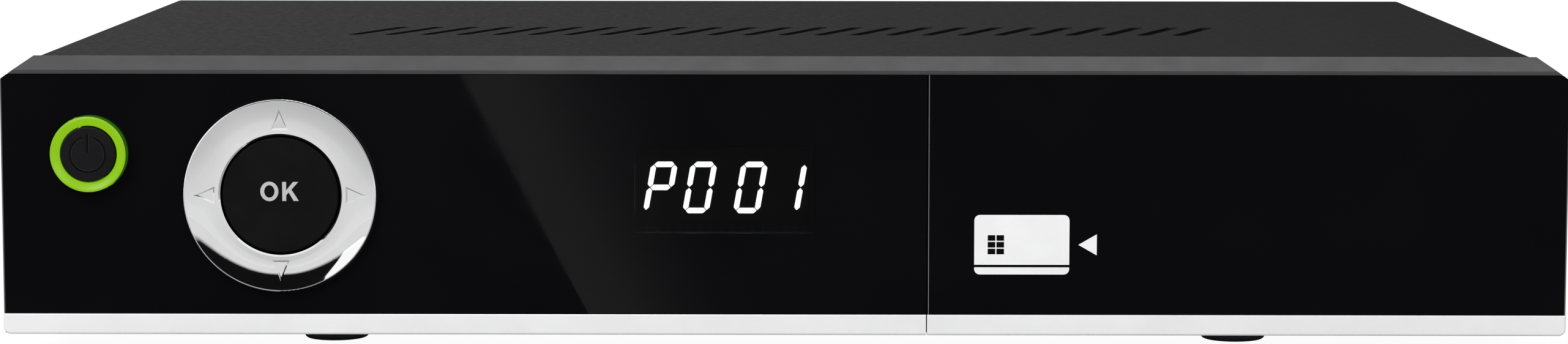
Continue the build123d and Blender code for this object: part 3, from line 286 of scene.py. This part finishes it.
polished = {"grain": 5000, "relief": 0.0002 * MM, "spread": 0.005}
smooth = 0.004 * MM             # relief of smooth mouldings and prints
rolled = (1, 12, 12)            # the grain of rolled sheet runs along x
looks = {
    "cover_paint": cover_paint(),
    "frame_plastic": plastic("frame_plastic", (67, 66, 67), (72, 71, 72), 0.5, specular=0.2),
    "chassis_steel": metal("chassis_steel", (160, 162, 162), (174, 176, 176), 0.38, rolled),
    "gloss_black": gloss_black(),
    "smoked_window": smoked_window(),
    "white_trim": plastic("white_trim", (236, 236, 236), (240, 240, 240), 0.22, relief=smooth),
    "ring_silver": metal("ring_silver", (232, 232, 233), (240, 240, 241), 0.03, **polished),
    "key_black": plastic("key_black", (17, 17, 18), (21, 21, 22), 0.5, specular=0.1),
    "green_light": lit_ring(),
    "foot_rubber": plastic("foot_rubber", (54, 54, 58), (64, 64, 68), 0.7, relief=0.05 * MM),
    "board_green": board_green(),
    "inner_black": plastic("inner_black", (20, 20, 20), (28, 28, 28), 0.5),
    "tinned_steel": metal("tinned_steel", (176, 176, 170), (205, 205, 200), 0.3),
    "nickel": metal("nickel", (196, 192, 184), (216, 212, 205), 0.16),
    "screw_steel": metal("screw_steel", (58, 58, 60), (82, 82, 84), 0.35),
    "digit_white": lit_white(),
    "display_grey": plastic("display_grey", (5, 5, 5), (7, 7, 7), 0.6, specular=0.1),
    "sink_black": metal("sink_black", (38, 38, 40), (52, 52, 54), 0.4),
    "chip_black": plastic("chip_black", (28, 28, 29), (36, 36, 37), 0.55),
    "can_sleeve": plastic("can_sleeve", (20, 28, 66), (28, 36, 80), 0.3),
    "ribbon_grey": plastic("ribbon_grey", (170, 170, 168), (190, 190, 188), 0.45),
}
thread_look = threaded_nickel()
power_black = plastic("power_black", (22, 21, 23), (26, 25, 27), 0.5, specular=0.1)
letter_grey = plastic("letter_grey", (187, 187, 187), (193, 193, 193), 0.5, relief=smooth)
letter_white = plastic("letter_white", (240, 240, 240), (246, 246, 246), 0.4, relief=smooth)
# black for print, and for painted shade in the power sign's groove and the screws' cross recesses
print_and_painted_shade_black = plastic("print_and_painted_shade_black", (8, 8, 8), (11, 11, 11), 0.6, specular=0.1)
# grey for the painted highlight along the power sign's engraved groove
painted_groove_highlight = plastic("painted_groove_highlight", (33, 32, 34), (38, 37, 39), 0.5, specular=0.2)
contact_gold = metal("contact_gold", (212, 168, 82), (232, 190, 104), 0.25)
insert_colours = (
    plastic("insert_yellow", (226, 190, 24), (236, 202, 34), 0.4),
    plastic("insert_white", (228, 228, 226), (238, 238, 236), 0.4),
    plastic("insert_red", (176, 24, 24), (192, 32, 30), 0.4),
)

for part in frame["record"]["subparts"]:
    piece = nodes[part["node"]]
    piece.data.materials.clear()
    piece.data.materials.append(looks[part["material_slot"]])
nodes["power_button"].data.materials[0] = power_black
for name in ("aerial_input_socket", "aerial_output_socket"):
    nodes[name].data.materials[0] = thread_look

# the smoked window's rim is blacked, so the digits aren't mirrored in it from the side
window = nodes["display_window"]
window.data.materials.append(looks["inner_black"])
least_forward = 0.5             # the rim's normals have less than this along Y
for polygon in window.data.polygons:
    normal = window.matrix_world.to_3x3() @ polygon.normal
    if abs(normal.y) < least_forward:
        polygon.material_index = 1


# ---------------------------------------------------------------- kinds of piece

def mesh_object(name, verts, faces, material):
    """A new mesh object with one material."""
    mesh = bpy.data.meshes.new(name)
    mesh.from_pydata([tuple(v) for v in verts], [], faces)
    mesh.materials.append(material)
    mesh.update()
    made = bpy.data.objects.new(name, mesh)
    bpy.context.scene.collection.objects.link(made)
    return made


def printed(name, outlines, y, material, body, thickness=0.04 * MM):
    """Front-view outlines of (x, z) points as thin marks that face -Y, print_gap proud of y."""
    verts = []
    faces = []
    front = y - print_gap
    for outline in outlines:
        start = len(verts)
        count = len(outline)
        verts += [(x, front, z) for x, z in outline]
        verts += [(x, front + thickness, z) for x, z in outline]
        faces.append(list(range(start, start + count)))
        faces.append([start + count + i for i in reversed(range(count))])
        for i in range(count):
            j = (i + 1) % count
            faces.append([start + j, start + i, start + count + i, start + count + j])
    piece = mesh_object(name, verts, faces, material)
    bm = bmesh.new()
    bm.from_mesh(piece.data)
    bmesh.ops.triangulate(bm, faces=bm.faces)
    bmesh.ops.recalc_face_normals(bm, faces=bm.faces)
    bm.to_mesh(piece.data)
    bm.free()
    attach(piece, body)
    return piece


def lathe(name, profile, place, material, body, steps=48):
    """A round piece about a line along Y, from (radius, y) points about place."""
    verts = []
    faces = []
    count = len(profile)
    for i in range(steps):
        a = 2 * math.pi * i / steps
        for radius, y in profile:
            verts.append((place.x + radius * math.cos(a), place.y + y, place.z + radius * math.sin(a)))
    for i in range(steps):
        j = (i + 1) % steps
        for k in range(count):
            n = (k + 1) % count
            faces.append([i * count + k, j * count + k, j * count + n, i * count + n])
    piece = mesh_object(name, verts, faces, material)
    for polygon in piece.data.polygons:
        polygon.use_smooth = True
    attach(piece, body)


def boxes(name, corners, material, body):
    """Several small blocks, given by their low and high corners, as one piece."""
    verts = []
    faces = []
    for (x0, y0, z0), (x1, y1, z1) in corners:
        start = len(verts)
        verts += [
            (x0, y0, z0), (x1, y0, z0), (x1, y1, z0), (x0, y1, z0),
            (x0, y0, z1), (x1, y0, z1), (x1, y1, z1), (x0, y1, z1),
        ]
        sides = [(0, 3, 2, 1), (4, 5, 6, 7), (0, 1, 5, 4), (1, 2, 6, 5), (2, 3, 7, 6), (3, 0, 4, 7)]
        faces += [[start + i for i in side] for side in sides]
    piece = mesh_object(name, verts, faces, material)
    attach(piece, body)


# ---------------------------------------------------------------- outlines of (x, z) points

def rectangle(x0, x1, z0, z1):
    """Outline of a rectangle."""
    return [(x0, z0), (x1, z0), (x1, z1), (x0, z1)]


def rounded_rectangle(x0, x1, z0, z1, radius, steps=8):
    """Outline of a rectangle with round corners."""
    outline = []
    corners = ((x1, z1, 0), (x0, z1, 90), (x0, z0, 180), (x1, z0, 270))
    for x, z, start in corners:
        cx = x - radius if x == x1 else x + radius
        cz = z - radius if z == z1 else z + radius
        for i in range(steps + 1):
            a = math.radians(start + 90 * i / steps)
            outline.append((cx + radius * math.cos(a), cz + radius * math.sin(a)))
    return outline


def arc_band(cx, cz, inner, outer, start, end, steps=48):
    """Outline of part of a flat ring or oval, from angle start to end in degrees.

    inner and outer are its half widths along x and z.
    """
    angles = [math.radians(start + (end - start) * i / steps) for i in range(steps + 1)]
    rim = [(cx + outer[0] * math.cos(a), cz + outer[1] * math.sin(a)) for a in angles]
    bore = [(cx + inner[0] * math.cos(a), cz + inner[1] * math.sin(a)) for a in reversed(angles)]
    return rim + bore


def lit_bar(start, end, width, gap):
    """Outline of one lit bar of a digit between two points, pointed at both ends."""
    along = (Vector(end) - Vector(start)).normalized()
    aside = Vector((along.y, -along.x))
    half = width / 2
    outline = []
    for point, inward in ((Vector(start), along), (Vector(end), -along)):
        tip = point + inward * gap / math.sqrt(2)
        shoulder = tip + inward * half
        turn = aside if inward is along else -aside
        outline += [shoulder + turn * half, tip, shoulder - turn * half]
    return outline


# ---------------------------------------------------------------- marks on the front

def ok_letters():
    """The two letters on the middle button."""
    height = 3.42 * MM
    stroke = 0.7 * MM
    o_width = 3.24 * MM
    k_width = 2.95 * MM
    gap = 0.68 * MM
    off_centre_x = -0.12 * MM
    off_centre_z = 0.69 * MM
    left = ring.x + off_centre_x - (o_width + gap + k_width) / 2
    foot = ring.z + off_centre_z - height / 2
    # O: two halves of a band that is a little thinner at the top and the foot
    overshoot = 0.04 * MM
    thin = 0.9 * stroke
    outer = (o_width / 2, height / 2 + overshoot)
    inner = (outer[0] - stroke, outer[1] - thin)
    letters = [
        arc_band(left + outer[0], foot + height / 2, inner, outer, start, start + 180, steps=32)
        for start in (0, 180)
    ]
    # K: a stem, an arm that leaves it up to the right, and a leg that leaves the arm
    arm_low = 0.30 * height
    arm_high = 0.56 * height
    arm_left = k_width - 1.0 * MM
    arm_right = k_width - 0.08 * MM
    leg_left = k_width - 0.92 * MM
    leg_meets_arm = (1.16 * MM, arm_low + 0.49 * MM)
    arm_meets_leg = (1.64 * MM, arm_low + 1.0 * MM)
    letter_k = [
        (0, 0),
        (stroke, 0),
        (stroke, arm_low),
        leg_meets_arm,
        (leg_left, 0),
        (k_width, 0),
        arm_meets_leg,
        (arm_right, height),
        (arm_left, height),
        (stroke, arm_high),
        (stroke, height),
        (0, height),
    ]
    k_left = left + o_width + gap
    letters.append([(k_left + x, foot + z) for x, z in letter_k])
    printed("ok_letters", letters, ok_face_y, letter_grey, "ok_key_body")


def power_sign():
    """The usual power sign: an open circle with an upright bar, dark with a paler edge: painted shade
    for an engraved groove, with a painted highlight on its lit wall.
    """
    radius = 3.3 * MM
    line = 0.34 * MM
    highlight_line = 0.4 * line
    opening = 17                    # half the circle's gap, in degrees
    bar_half = 0.2 * MM
    bar_highlight = 0.12 * MM
    bar_low = power.z + 0.35 * MM
    bar_high = power.z + 3.6 * MM

    def open_circle(inner, outer):
        return arc_band(
            power.x, power.z, (inner, inner), (outer, outer), 90 + opening, 360 + 90 - opening
        )

    # painted shade: the dark groove of the engraved sign
    dark = [
        open_circle(radius - line, radius),
        rectangle(power.x - bar_half, power.x + bar_half, bar_low, bar_high),
    ]
    # painted highlight: the paler lit wall of the groove, inside the circle and right of the bar
    light = [
        open_circle(radius - line - highlight_line, radius - line),
        rectangle(power.x + bar_half, power.x + bar_half + bar_highlight, bar_low, bar_high),
    ]
    printed("power_sign", dark, power_face_y, print_and_painted_shade_black, "power_key_body")
    printed("power_sign_painted_highlight", light, power_face_y, painted_groove_highlight, "power_key_body")


def lit_digits():
    """Four slanted seven-bar digits on the display's face."""
    low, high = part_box("display_digits")
    width = 4.78 * MM
    height = 9.3 * MM
    bar_width = 0.97 * MM
    bar_gap = 0.16 * MM
    left = -25.45 * MM
    foot = 24.82 * MM
    pitch = 7.08 * MM
    clock_pitch = 9.1 * MM          # wider in the middle, where a clock has its colon
    lean = math.tan(math.radians(10.0))
    x0, x1 = bar_width / 2, width - bar_width / 2
    z0, z1, z2 = bar_width / 2, height / 2, height - bar_width / 2
    bars = {
        "a": ((x0, z2), (x1, z2)),
        "b": ((x1, z1), (x1, z2)),
        "c": ((x1, z0), (x1, z1)),
        "d": ((x0, z0), (x1, z0)),
        "e": ((x0, z0), (x0, z1)),
        "f": ((x0, z1), (x0, z2)),
        "g": ((x0, z1), (x1, z1)),
    }
    lit = {"P": "abefg", "0": "abcdef", "1": "bc"}
    offsets = (0.0, pitch, pitch + clock_pitch, 2 * pitch + clock_pitch)
    outlines = []
    for digit, offset in zip("P001", offsets):
        for name in lit[digit]:
            outline = lit_bar(*bars[name], bar_width, bar_gap)
            outlines.append([(left + offset + p.x + p.y * lean, foot + p.y) for p in outline])
    # not proud: the digits take the place and the thickness of the node that they replace
    face = low[1] + print_gap
    deep = high[1] - low[1]
    white = looks["digit_white"]
    digits = printed("lit_digits", outlines, face, white, "case", thickness=deep)
    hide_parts("display_digits")


def card_sign():
    """A plain sign on the flap for the card slot behind it: a chip card and an arrow."""
    panel_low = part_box("flap_panel")[0]
    left = panel_low[0] + 8.4 * MM
    foot = panel_low[2] + 7.3 * MM
    face = panel_low[1]
    width = 17.0 * MM
    height = width / 1.586          # the shape of a chip card
    corner_radius = 1.0 * MM
    card_outline = rounded_rectangle(left, left + width, foot, foot + height, corner_radius)
    middle_z = foot + height / 2
    arrow_left = left + width + 1.6 * MM
    arrow_right = arrow_left + 3.3 * MM
    arrow_half = 1.9 * MM
    arrow = [
        (arrow_left, middle_z),
        (arrow_right, middle_z - arrow_half),
        (arrow_right, middle_z + arrow_half),
    ]
    printed("card_sign", [card_outline, arrow], face, letter_white, "flap")
    # dark on the white card: two columns of three contacts, and a stripe along its foot
    pad_left = left + 2.4 * MM
    pad_width = 1.35 * MM
    pad_height = 1.0 * MM
    line = 0.22 * MM
    stripe_low = foot + 1.3 * MM
    stripe_high = foot + 1.75 * MM
    contacts = []
    for column in range(2):
        for row in range(3):
            x = pad_left + column * (pad_width + line)
            z = middle_z + (row - 1.5) * (pad_height + line) + line / 2
            contacts.append(rectangle(x, x + pad_width, z, z + pad_height))
    contacts.append(rectangle(left, left + width, stripe_low, stripe_high))
    printed("card_sign_contacts", contacts, face - print_gap, print_and_painted_shade_black, "flap")


# ---------------------------------------------------------------- sockets and screws

def socket_inserts():
    """Coloured insulators inside the three round sockets."""
    low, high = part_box("round_sockets")
    pitch = 14.0 * MM
    outer = 3.62 * MM
    inner = 1.72 * MM
    slope = 0.3 * MM                # width of the sloping rim round the bore
    back = -0.1 * MM                # places along Y, from the socket's mouth
    bore_edge = -0.05 * MM
    front = 0.05 * MM
    profile = [(inner, back), (outer, back), (outer, front), (inner + slope, front), (inner, bore_edge)]
    x = (low[0] + high[0]) / 2
    z = (low[2] + high[2]) / 2
    for index, material in enumerate(insert_colours):
        place = Vector((x + (index - 1) * pitch, high[1], z))
        name = "round_socket_insert_%d" % (index + 1)
        lathe(name, profile, place, material, "case")


def network_contacts():
    """Eight gilt wires in the network socket."""
    low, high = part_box("network_socket")
    pitch = 1.02 * MM
    half = 0.2 * MM
    y0 = high[1] - 11.0 * MM
    y1 = high[1] - 2.0 * MM
    z0 = low[2] + 2.45 * MM
    z1 = low[2] + 3.1 * MM
    wires = []
    for i in range(8):
        x = (low[0] + high[0]) / 2 + (i - 3.5) * pitch
        wires.append(((x - half, y0, z0), (x + half, y1, z1)))
    boxes("network_contacts", wires, contact_gold, "case")


def bus_contacts(socket, inward):
    """Four gilt pads on the tongue of a bus socket; inward is the way into it along Y."""
    low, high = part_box(socket)
    pitch = 2.3 * MM
    half = 0.5 * MM
    shell_to_tongue = 1.1 * MM
    tongue = 1.8 * MM               # thickness
    tongue_z = high[2] - shell_to_tongue - tongue
    mouth = high[1] if inward < 0 else low[1]
    y0, y1 = sorted((mouth + inward * 1.4 * MM, mouth + inward * 9.0 * MM))
    z0 = tongue_z - 0.12 * MM
    z1 = tongue_z + 0.1 * MM
    pads = []
    for i in range(4):
        x = (low[0] + high[0]) / 2 + (i - 1.5) * pitch
        pads.append(((x - half, y0, z0), (x + half, y1, z1)))
    boxes(socket + "_contacts", pads, contact_gold, "case")


def painted_screw_recess_shade():
    """Painted shade for the cross recesses in the heads of the cover's screws: thin dark crosses on the
    heads.
    """
    low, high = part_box("cover_screws")
    head_radius = 2.9 * MM
    side_screws_y = (-62.75 * MM, 63.25 * MM)
    rear_screws_x = (-120 * MM, 0.0, 120 * MM)
    side_z = low[2] + head_radius
    rear_z = high[2] - head_radius
    rear_y = high[1]
    arm = 1.35 * MM
    half = 0.28 * MM
    thin = 0.03 * MM
    cross = ((arm, half), (half, arm))
    bars = []
    for y in side_screws_y:
        for x in (low[0], high[0]):
            for across, up in cross:
                bars.append(((x - thin, y - across, side_z - up), (x + thin, y + across, side_z + up)))
    for x in rear_screws_x:
        for across, up in cross:
            bars.append((
                (x - across, rear_y - thin, rear_z - up),
                (x + across, rear_y + thin, rear_z + up),
            ))
    # the dark crosses are painted shade where the recesses are
    boxes("painted_screw_recess_shade", bars, print_and_painted_shade_black, "case")


ok_letters()
power_sign()
lit_digits()
card_sign()
socket_inserts()
network_contacts()
bus_contacts("rear_bus_socket", -1)
bus_contacts("front_bus_socket", 1)
painted_screw_recess_shade()


# ---------------------------------------------------------------- camera

def photograph_camera():
    """The camera at the photograph's place, turned a little down. Returns its place."""
    place = Vector((3.3 * MM, face_y - 710.2 * MM, 106.9 * MM))
    aside = 0.269                   # turns in degrees
    down = -5.966
    roll = -0.047
    turn = (
        Matrix.Rotation(math.radians(aside), 3, "Z")
        @ Matrix.Rotation(math.radians(down), 3, "X")
        @ Matrix.Rotation(math.radians(roll), 3, "Y")
    )
    right, ahead, up = turn.col[0], turn.col[1], turn.col[2]
    pose = Matrix((right, up, -ahead)).transposed().to_4x4()
    pose.translation = place
    data = bpy.data.cameras.new("camera")
    data.sensor_width = 36.0
    data.lens = 91.83
    data.clip_start = 0.01
    camera = bpy.data.objects.new("camera", data)
    camera.matrix_world = pose
    bpy.context.scene.collection.objects.link(camera)
    bpy.context.scene.camera = camera
    return place


eye = photograph_camera()


# ---------------------------------------------------------------- materials of the stage

def bare_tree(owner):
    """The emptied node tree of a material or world."""
    owner.use_nodes = True
    tree = owner.node_tree
    tree.nodes.clear()
    return tree


def shader_mix(tree, factor, first, second):
    """The first shader where factor is 0, the second where it is 1."""
    mix = tree.nodes.new("ShaderNodeMixShader")
    tree.links.new(factor, mix.inputs["Fac"])
    tree.links.new(first.outputs[0], mix.inputs[1])
    tree.links.new(second.outputs[0], mix.inputs[2])
    return mix


def shader_sum(tree, first, second):
    """Two shaders added up."""
    both = tree.nodes.new("ShaderNodeAddShader")
    tree.links.new(first.outputs[0], both.inputs[0])
    tree.links.new(second.outputs[0], both.inputs[1])
    return both


def grey(tree, kind, level, strength=None):
    """A shader node of that kind in an even grey."""
    made = tree.nodes.new(kind)
    made.inputs["Color"].default_value = (level, level, level, 1)
    if strength is not None:
        made.inputs["Strength"].default_value = strength
    return made


def finish_tree(tree, kind, shader):
    """Joins the last shader to an output node of that kind."""
    out = tree.nodes.new(kind)
    tree.links.new(shader.outputs[0], out.inputs["Surface"])


def floor_material():
    """White to the camera with the object's shadow kept; dark to mirror-like surfaces."""
    material = bpy.data.materials.new("floor")
    tree = bare_tree(material)
    paths = tree.nodes.new("ShaderNodeLightPath")
    glow = grey(tree, "ShaderNodeEmission", 1.0, strength=0.95)
    shadowed = grey(tree, "ShaderNodeBsdfDiffuse", 0.075)
    white = shader_sum(tree, glow, shadowed)
    pale = grey(tree, "ShaderNodeBsdfDiffuse", 0.55)
    dark = grey(tree, "ShaderNodeBsdfDiffuse", 0.01)
    seen = shader_mix(tree, paths.outputs["Is Camera Ray"], pale, white)
    mirrored = shader_mix(tree, paths.outputs["Is Glossy Ray"], seen, dark)
    # from under the floor the object's underside shows through it
    facing = tree.nodes.new("ShaderNodeNewGeometry")
    clear = tree.nodes.new("ShaderNodeBsdfTransparent")
    one_sided = shader_mix(tree, facing.outputs["Backfacing"], mirrored, clear)
    finish_tree(tree, "ShaderNodeOutputMaterial", one_sided)
    return material


def world_light():
    """White to the camera, soft light for matt surfaces, dark all round for mirror-like ones."""
    world = bpy.data.worlds.new("world")
    bpy.context.scene.world = world
    tree = bare_tree(world)
    paths = tree.nodes.new("ShaderNodeLightPath")
    soft = grey(tree, "ShaderNodeBackground", 1.0, strength=0.6)
    dim = grey(tree, "ShaderNodeBackground", 1.0, strength=0.006)
    white = grey(tree, "ShaderNodeBackground", 1.0, strength=1.0)
    unseen = shader_mix(tree, paths.outputs["Is Glossy Ray"], soft, dim)
    seen = shader_mix(tree, paths.outputs["Is Camera Ray"], unseen, white)
    finish_tree(tree, "ShaderNodeOutputWorld", seen)


def even(strength):
    """Stops of a glow that is the same all over."""
    return [(0.0, strength), (1.0, strength)]


def glow_material(name, stops):
    """A see-through glow whose strength runs through (x, strength) stops across the card."""
    material = bpy.data.materials.new(name)
    tree = bare_tree(material)
    place = tree.nodes.new("ShaderNodeTexCoord")
    split = tree.nodes.new("ShaderNodeSeparateXYZ")
    tree.links.new(place.outputs["Object"], split.inputs["Vector"])
    ramp = tree.nodes.new("ShaderNodeValToRGB")
    elements = ramp.color_ramp.elements
    while len(elements) < len(stops):
        elements.new(0.5)
    for element, (position, strength) in zip(elements, stops):
        element.position = position
        element.color = (strength, strength, strength, 1)
    tree.links.new(split.outputs["X"], ramp.inputs["Fac"])
    glow = tree.nodes.new("ShaderNodeEmission")
    tree.links.new(ramp.outputs["Color"], glow.inputs["Color"])
    clear = tree.nodes.new("ShaderNodeBsdfTransparent")
    finish_tree(tree, "ShaderNodeOutputMaterial", shader_sum(tree, glow, clear))
    return material


def fan_material(name, sharp, faded, stops):
    """A see-through glow by the angle about the object's own origin, from sharp to faded."""
    material = glow_material(name, stops)
    tree = material.node_tree
    split = next(n for n in tree.nodes if n.bl_idname == "ShaderNodeSeparateXYZ")
    ramp = next(n for n in tree.nodes if n.bl_idname == "ShaderNodeValToRGB")
    angle = tree.nodes.new("ShaderNodeMath")
    angle.operation = "ARCTAN2"
    tree.links.new(split.outputs["X"], angle.inputs[0])
    tree.links.new(split.outputs["Y"], angle.inputs[1])
    share = tree.nodes.new("ShaderNodeMapRange")
    share.inputs["From Min"].default_value = sharp
    share.inputs["From Max"].default_value = faded
    tree.links.new(angle.outputs[0], share.inputs["Value"])
    tree.links.new(share.outputs["Result"], ramp.inputs["Fac"])
    return material


# ---------------------------------------------------------------- floor and reflectors

def light_only(source, receivers):
    """Keeps a lamp's or a glowing piece's light to its receivers."""
    group = bpy.data.collections.new(source.name + "_receivers")
    for receiver in receivers:
        group.objects.link(receiver)
    source.light_linking.receiver_collection = group


def receive_only(sheet, receivers):
    """Makes a sheet a stage piece that shows only in the gloss of its receivers."""
    sheet.visible_camera = False
    sheet.visible_diffuse = False
    sheet.visible_transmission = False
    sheet.visible_shadow = False
    light_only(sheet, receivers)


def card(name, corner, along, across, stops, receivers):
    """A reflector, from a corner along two edges; its glow changes along the first."""
    normal = Vector(along).cross(Vector(across)).normalized()
    square = [(0, 0, 0), (1, 0, 0), (1, 1, 0), (0, 1, 0)]
    sheet = mesh_object(name, square, [(0, 1, 2, 3)], glow_material(name, stops))
    sheet.matrix_world = Matrix((Vector(along), Vector(across), normal)).transposed().to_4x4()
    sheet.matrix_world.translation = Vector(corner)
    receive_only(sheet, receivers)


def floor_sheet(name, outline, lift, strength, receivers):
    """An even reflector over the floor, an outline of (x, y) points."""
    verts = [(x, y, lift) for x, y in outline]
    material = glow_material(name, even(strength))
    receive_only(mesh_object(name, verts, [tuple(range(len(verts)))], material), receivers)


floor_half = 6.0
# heights over the floor: level sheets would hide each other
floor_lift = 0.6 * MM               # cards on the floor
fan_lift = 1.2 * MM                 # the slanted glow
side_lift = 1.8 * MM                # beside the front's outer edges
seam_lift = 2.4 * MM                # beside the seam
floor_outline = rectangle(-floor_half, floor_half, -floor_half, floor_half)
floor = mesh_object("floor", [(x, y, 0) for x, y in floor_outline], [(0, 1, 2, 3)], floor_material())
world_light()

dark_gloss = {"front_lens", "flap_panel", "display_window"}
metal_slots = {"chassis_steel", "tinned_steel", "nickel", "screw_steel", "sink_black"}
pieces = [o for o in bpy.context.scene.objects if o.type == "MESH" and o is not floor]
pale_mirrors = [o for o in pieces if o.name not in dark_gloss | {"nav_ring"}]
ring_piece = [nodes["nav_ring"]]
matt_pieces = [o for o in pieces if o is not nodes["nav_ring"]] + [floor]
other_metal = [
    nodes[part["node"]]
    for part in frame["record"]["subparts"]
    if part["material_slot"] in metal_slots
]
dark_pieces = [nodes[name] for name in sorted(dark_gloss)]

# pale floor in front of the object, a little darker close to it, and pale floor behind and under
near = face_y - 0.5 * MM            # the floor in front begins here
horizon_distance = 1.5              # and runs this far
behind = 0.1                        # the floor behind begins here
rear_depth = 3.0
card_half = 3.0
under_half = 0.2
front_way = (0, -horizon_distance, 0)
full_width = (2 * card_half, 0, 0)
card("front_floor", (-card_half, near, floor_lift), front_way, full_width,
     [(0.0, 0.27), (0.03, 0.42), (0.12, 0.66), (0.25, 0.78)], pale_mirrors)
card("ring_floor", (-card_half, near, floor_lift), front_way, full_width,
     [(0.0, 0.36), (0.03, 0.5), (0.12, 0.75), (0.25, 0.83)], ring_piece)
card("rear_floor", (-card_half, behind, floor_lift), (0, rear_depth, 0), full_width,
     [(0.0, 0.5), (0.1, 0.7)], other_metal)
card("under_floor", (-under_half, near, floor_lift), (2 * under_half, 0, 0), (0, behind - near, 0),
     even(0.5), other_metal)

# for the four-way ring, at the far end of the floor in front: a pale horizon, dark above it, and
# a soft box at the left
far_y = face_y - horizon_distance
horizon_angle = math.radians(5.5)   # above the ring's centre, as seen from there
horizon = ring.z + horizon_distance * math.tan(horizon_angle)
horizon_half = 2.5
card("ring_horizon", (-horizon_half, far_y, 0.0), (0, 0, horizon), (2 * horizon_half, 0, 0),
     [(0.0, 0.8), (0.72, 0.8), (1.0, 0.08)], ring_piece)
soft_box_angle = math.radians(19.4)  # aside of the ring's centre
soft_box_x = ring.x - horizon_distance * math.tan(soft_box_angle)
soft_box_foot = 0.8 * horizon
soft_box_width = 1.2
soft_box_height = 1.0
card("ring_soft_box", (soft_box_x, far_y, soft_box_foot), (-soft_box_width, 0, 0),
     (0, 0, soft_box_height), even(1.1), ring_piece)

# a pale sky and walls for the ring and the bare metal
room_half = 2.0
room_height = 2.2
room_x = (2 * room_half, 0, 0)
room_y = (0, 2 * room_half, 0)
room_z = (0, 0, room_height)
card("ring_sky", (-room_half, -room_half, room_height), room_x, room_y, even(1.0),
     ring_piece + other_metal)
card("ring_left_wall", (-room_half, -room_half, 0.0), room_y, room_z, even(1.0), ring_piece)
card("ring_right_wall", (room_half, -room_half, 0.0), room_y, room_z, even(0.8), ring_piece)
card("rear_sky", (-room_half, room_half, 0.0), room_x, room_z, even(0.85), other_metal)

# low glow behind, which the matt cover catches at a flat angle, brighter at the left
glow_y = 1.6
glow_half = 1.6
glow_height = 0.9
card("cover_glow", (-glow_half, glow_y, 0.0), (2 * glow_half, 0, 0), (0, 0, glow_height),
     [(0.0, 1.6), (0.4, 0.6), (0.65, 0.08), (1.0, 0.0)], [nodes["top_cover"]])

# light for the rounded upright edges of the glossy front, on the floor beside what they belong to:
# it lies half a right angle or more aside, so the flat front doesn't show it from the usual views
reach = 0.7
near_side = cad_box[1][0] + 1.5 * MM
far_side = near_side + reach
side_outline = [
    (near_side, face_y + reach),
    (near_side, face_y),
    (far_side, face_y - reach),
    (far_side, face_y + reach),
]
side_strength = 2.05
seam_strength = 5.0
for name, way, receiver in (("left_edge", -1, "front_lens"), ("right_edge", 1, "flap_panel")):
    outline = [(way * x, y) for x, y in side_outline]
    floor_sheet(name, outline, side_lift, side_strength, [nodes[receiver]])
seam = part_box("flap_panel")[0][0] - 0.3 * MM
seam_outline = [(seam, face_y), (seam - reach, face_y - reach), (seam - reach, face_y)]
floor_sheet("seam_edge", seam_outline, seam_lift, seam_strength, [nodes["flap_panel"]])


def floor_mirrored(x, z):
    """Where the camera sees the floor mirrored at a place on the glossy front."""
    share = eye.z / (eye.z - z)
    return Vector((eye.x + (x - eye.x) * share, face_y - (face_y - eye.y) * (share - 1), 0))


def slanted_glow():
    """The slanted reflection on the glossy front: a fan over the floor, sharp at its left edge."""
    # on the front's plane, each edge is a line from z = 0 to top_z
    top_z = 55.0 * MM
    sharp_low = floor_mirrored(-32.0 * MM, 0)
    sharp_high = floor_mirrored(-60.5 * MM, top_z)
    faded_low = floor_mirrored(-2.5 * MM, 0)
    faded_high = floor_mirrored(-20.5 * MM, top_z)
    # the two edges, drawn on, meet behind the object
    along = sharp_high - sharp_low
    other = faded_high - faded_low
    apart = faded_low - sharp_low
    step = (apart.x * other.y - apart.y * other.x) / (along.x * other.y - along.y * other.x)
    apex = sharp_low + along * step
    corners = [c - apex for c in (sharp_low, sharp_high, faded_high, faded_low)]
    sharp = math.atan2((sharp_high - apex).x, (sharp_high - apex).y)
    faded = math.atan2((faded_high - apex).x, (faded_high - apex).y)
    stops = [(0.0, 0.215), (0.22, 0.195), (0.5, 0.085), (0.76, 0.02), (1.0, 0.0)]
    material = fan_material("slanted_glow", sharp, faded, stops)
    fan = mesh_object("slanted_glow", corners, [(0, 1, 2, 3)], material)
    fan.location = (apex.x, apex.y, fan_lift)
    receive_only(fan, dark_pieces)


slanted_glow()


# ---------------------------------------------------------------- lamps

def area_light(name, place, aim_z, width, height, power):
    """A soft rectangular lamp aimed at a height over the origin; the ring doesn't receive it."""
    data = bpy.data.lights.new(name, "AREA")
    data.shape = "RECTANGLE"
    data.size = width
    data.size_y = height
    data.energy = power
    lamp = bpy.data.objects.new(name, data)
    lamp.location = place
    direction = Vector((0, 0, aim_z)) - Vector(place)
    lamp.rotation_euler = direction.to_track_quat("-Z", "Y").to_euler()
    bpy.context.scene.collection.objects.link(lamp)
    light_only(lamp, matt_pieces)


area_light("key", (-0.9, -1.3, 1.2), aim_z=0.02, width=1.2, height=0.8, power=17.5)
area_light("fill", (1.1, -1.2, 0.9), aim_z=0.02, width=1.0, height=1.0, power=4.2)
area_light("top", (-0.1, 0.1, 1.3), aim_z=0.05, width=1.8, height=0.8, power=10.3)
# nor does the ring receive the green glow
light_only(nodes["power_light_ring"], matt_pieces)

bpy.context.scene.view_settings.view_transform = "Standard"
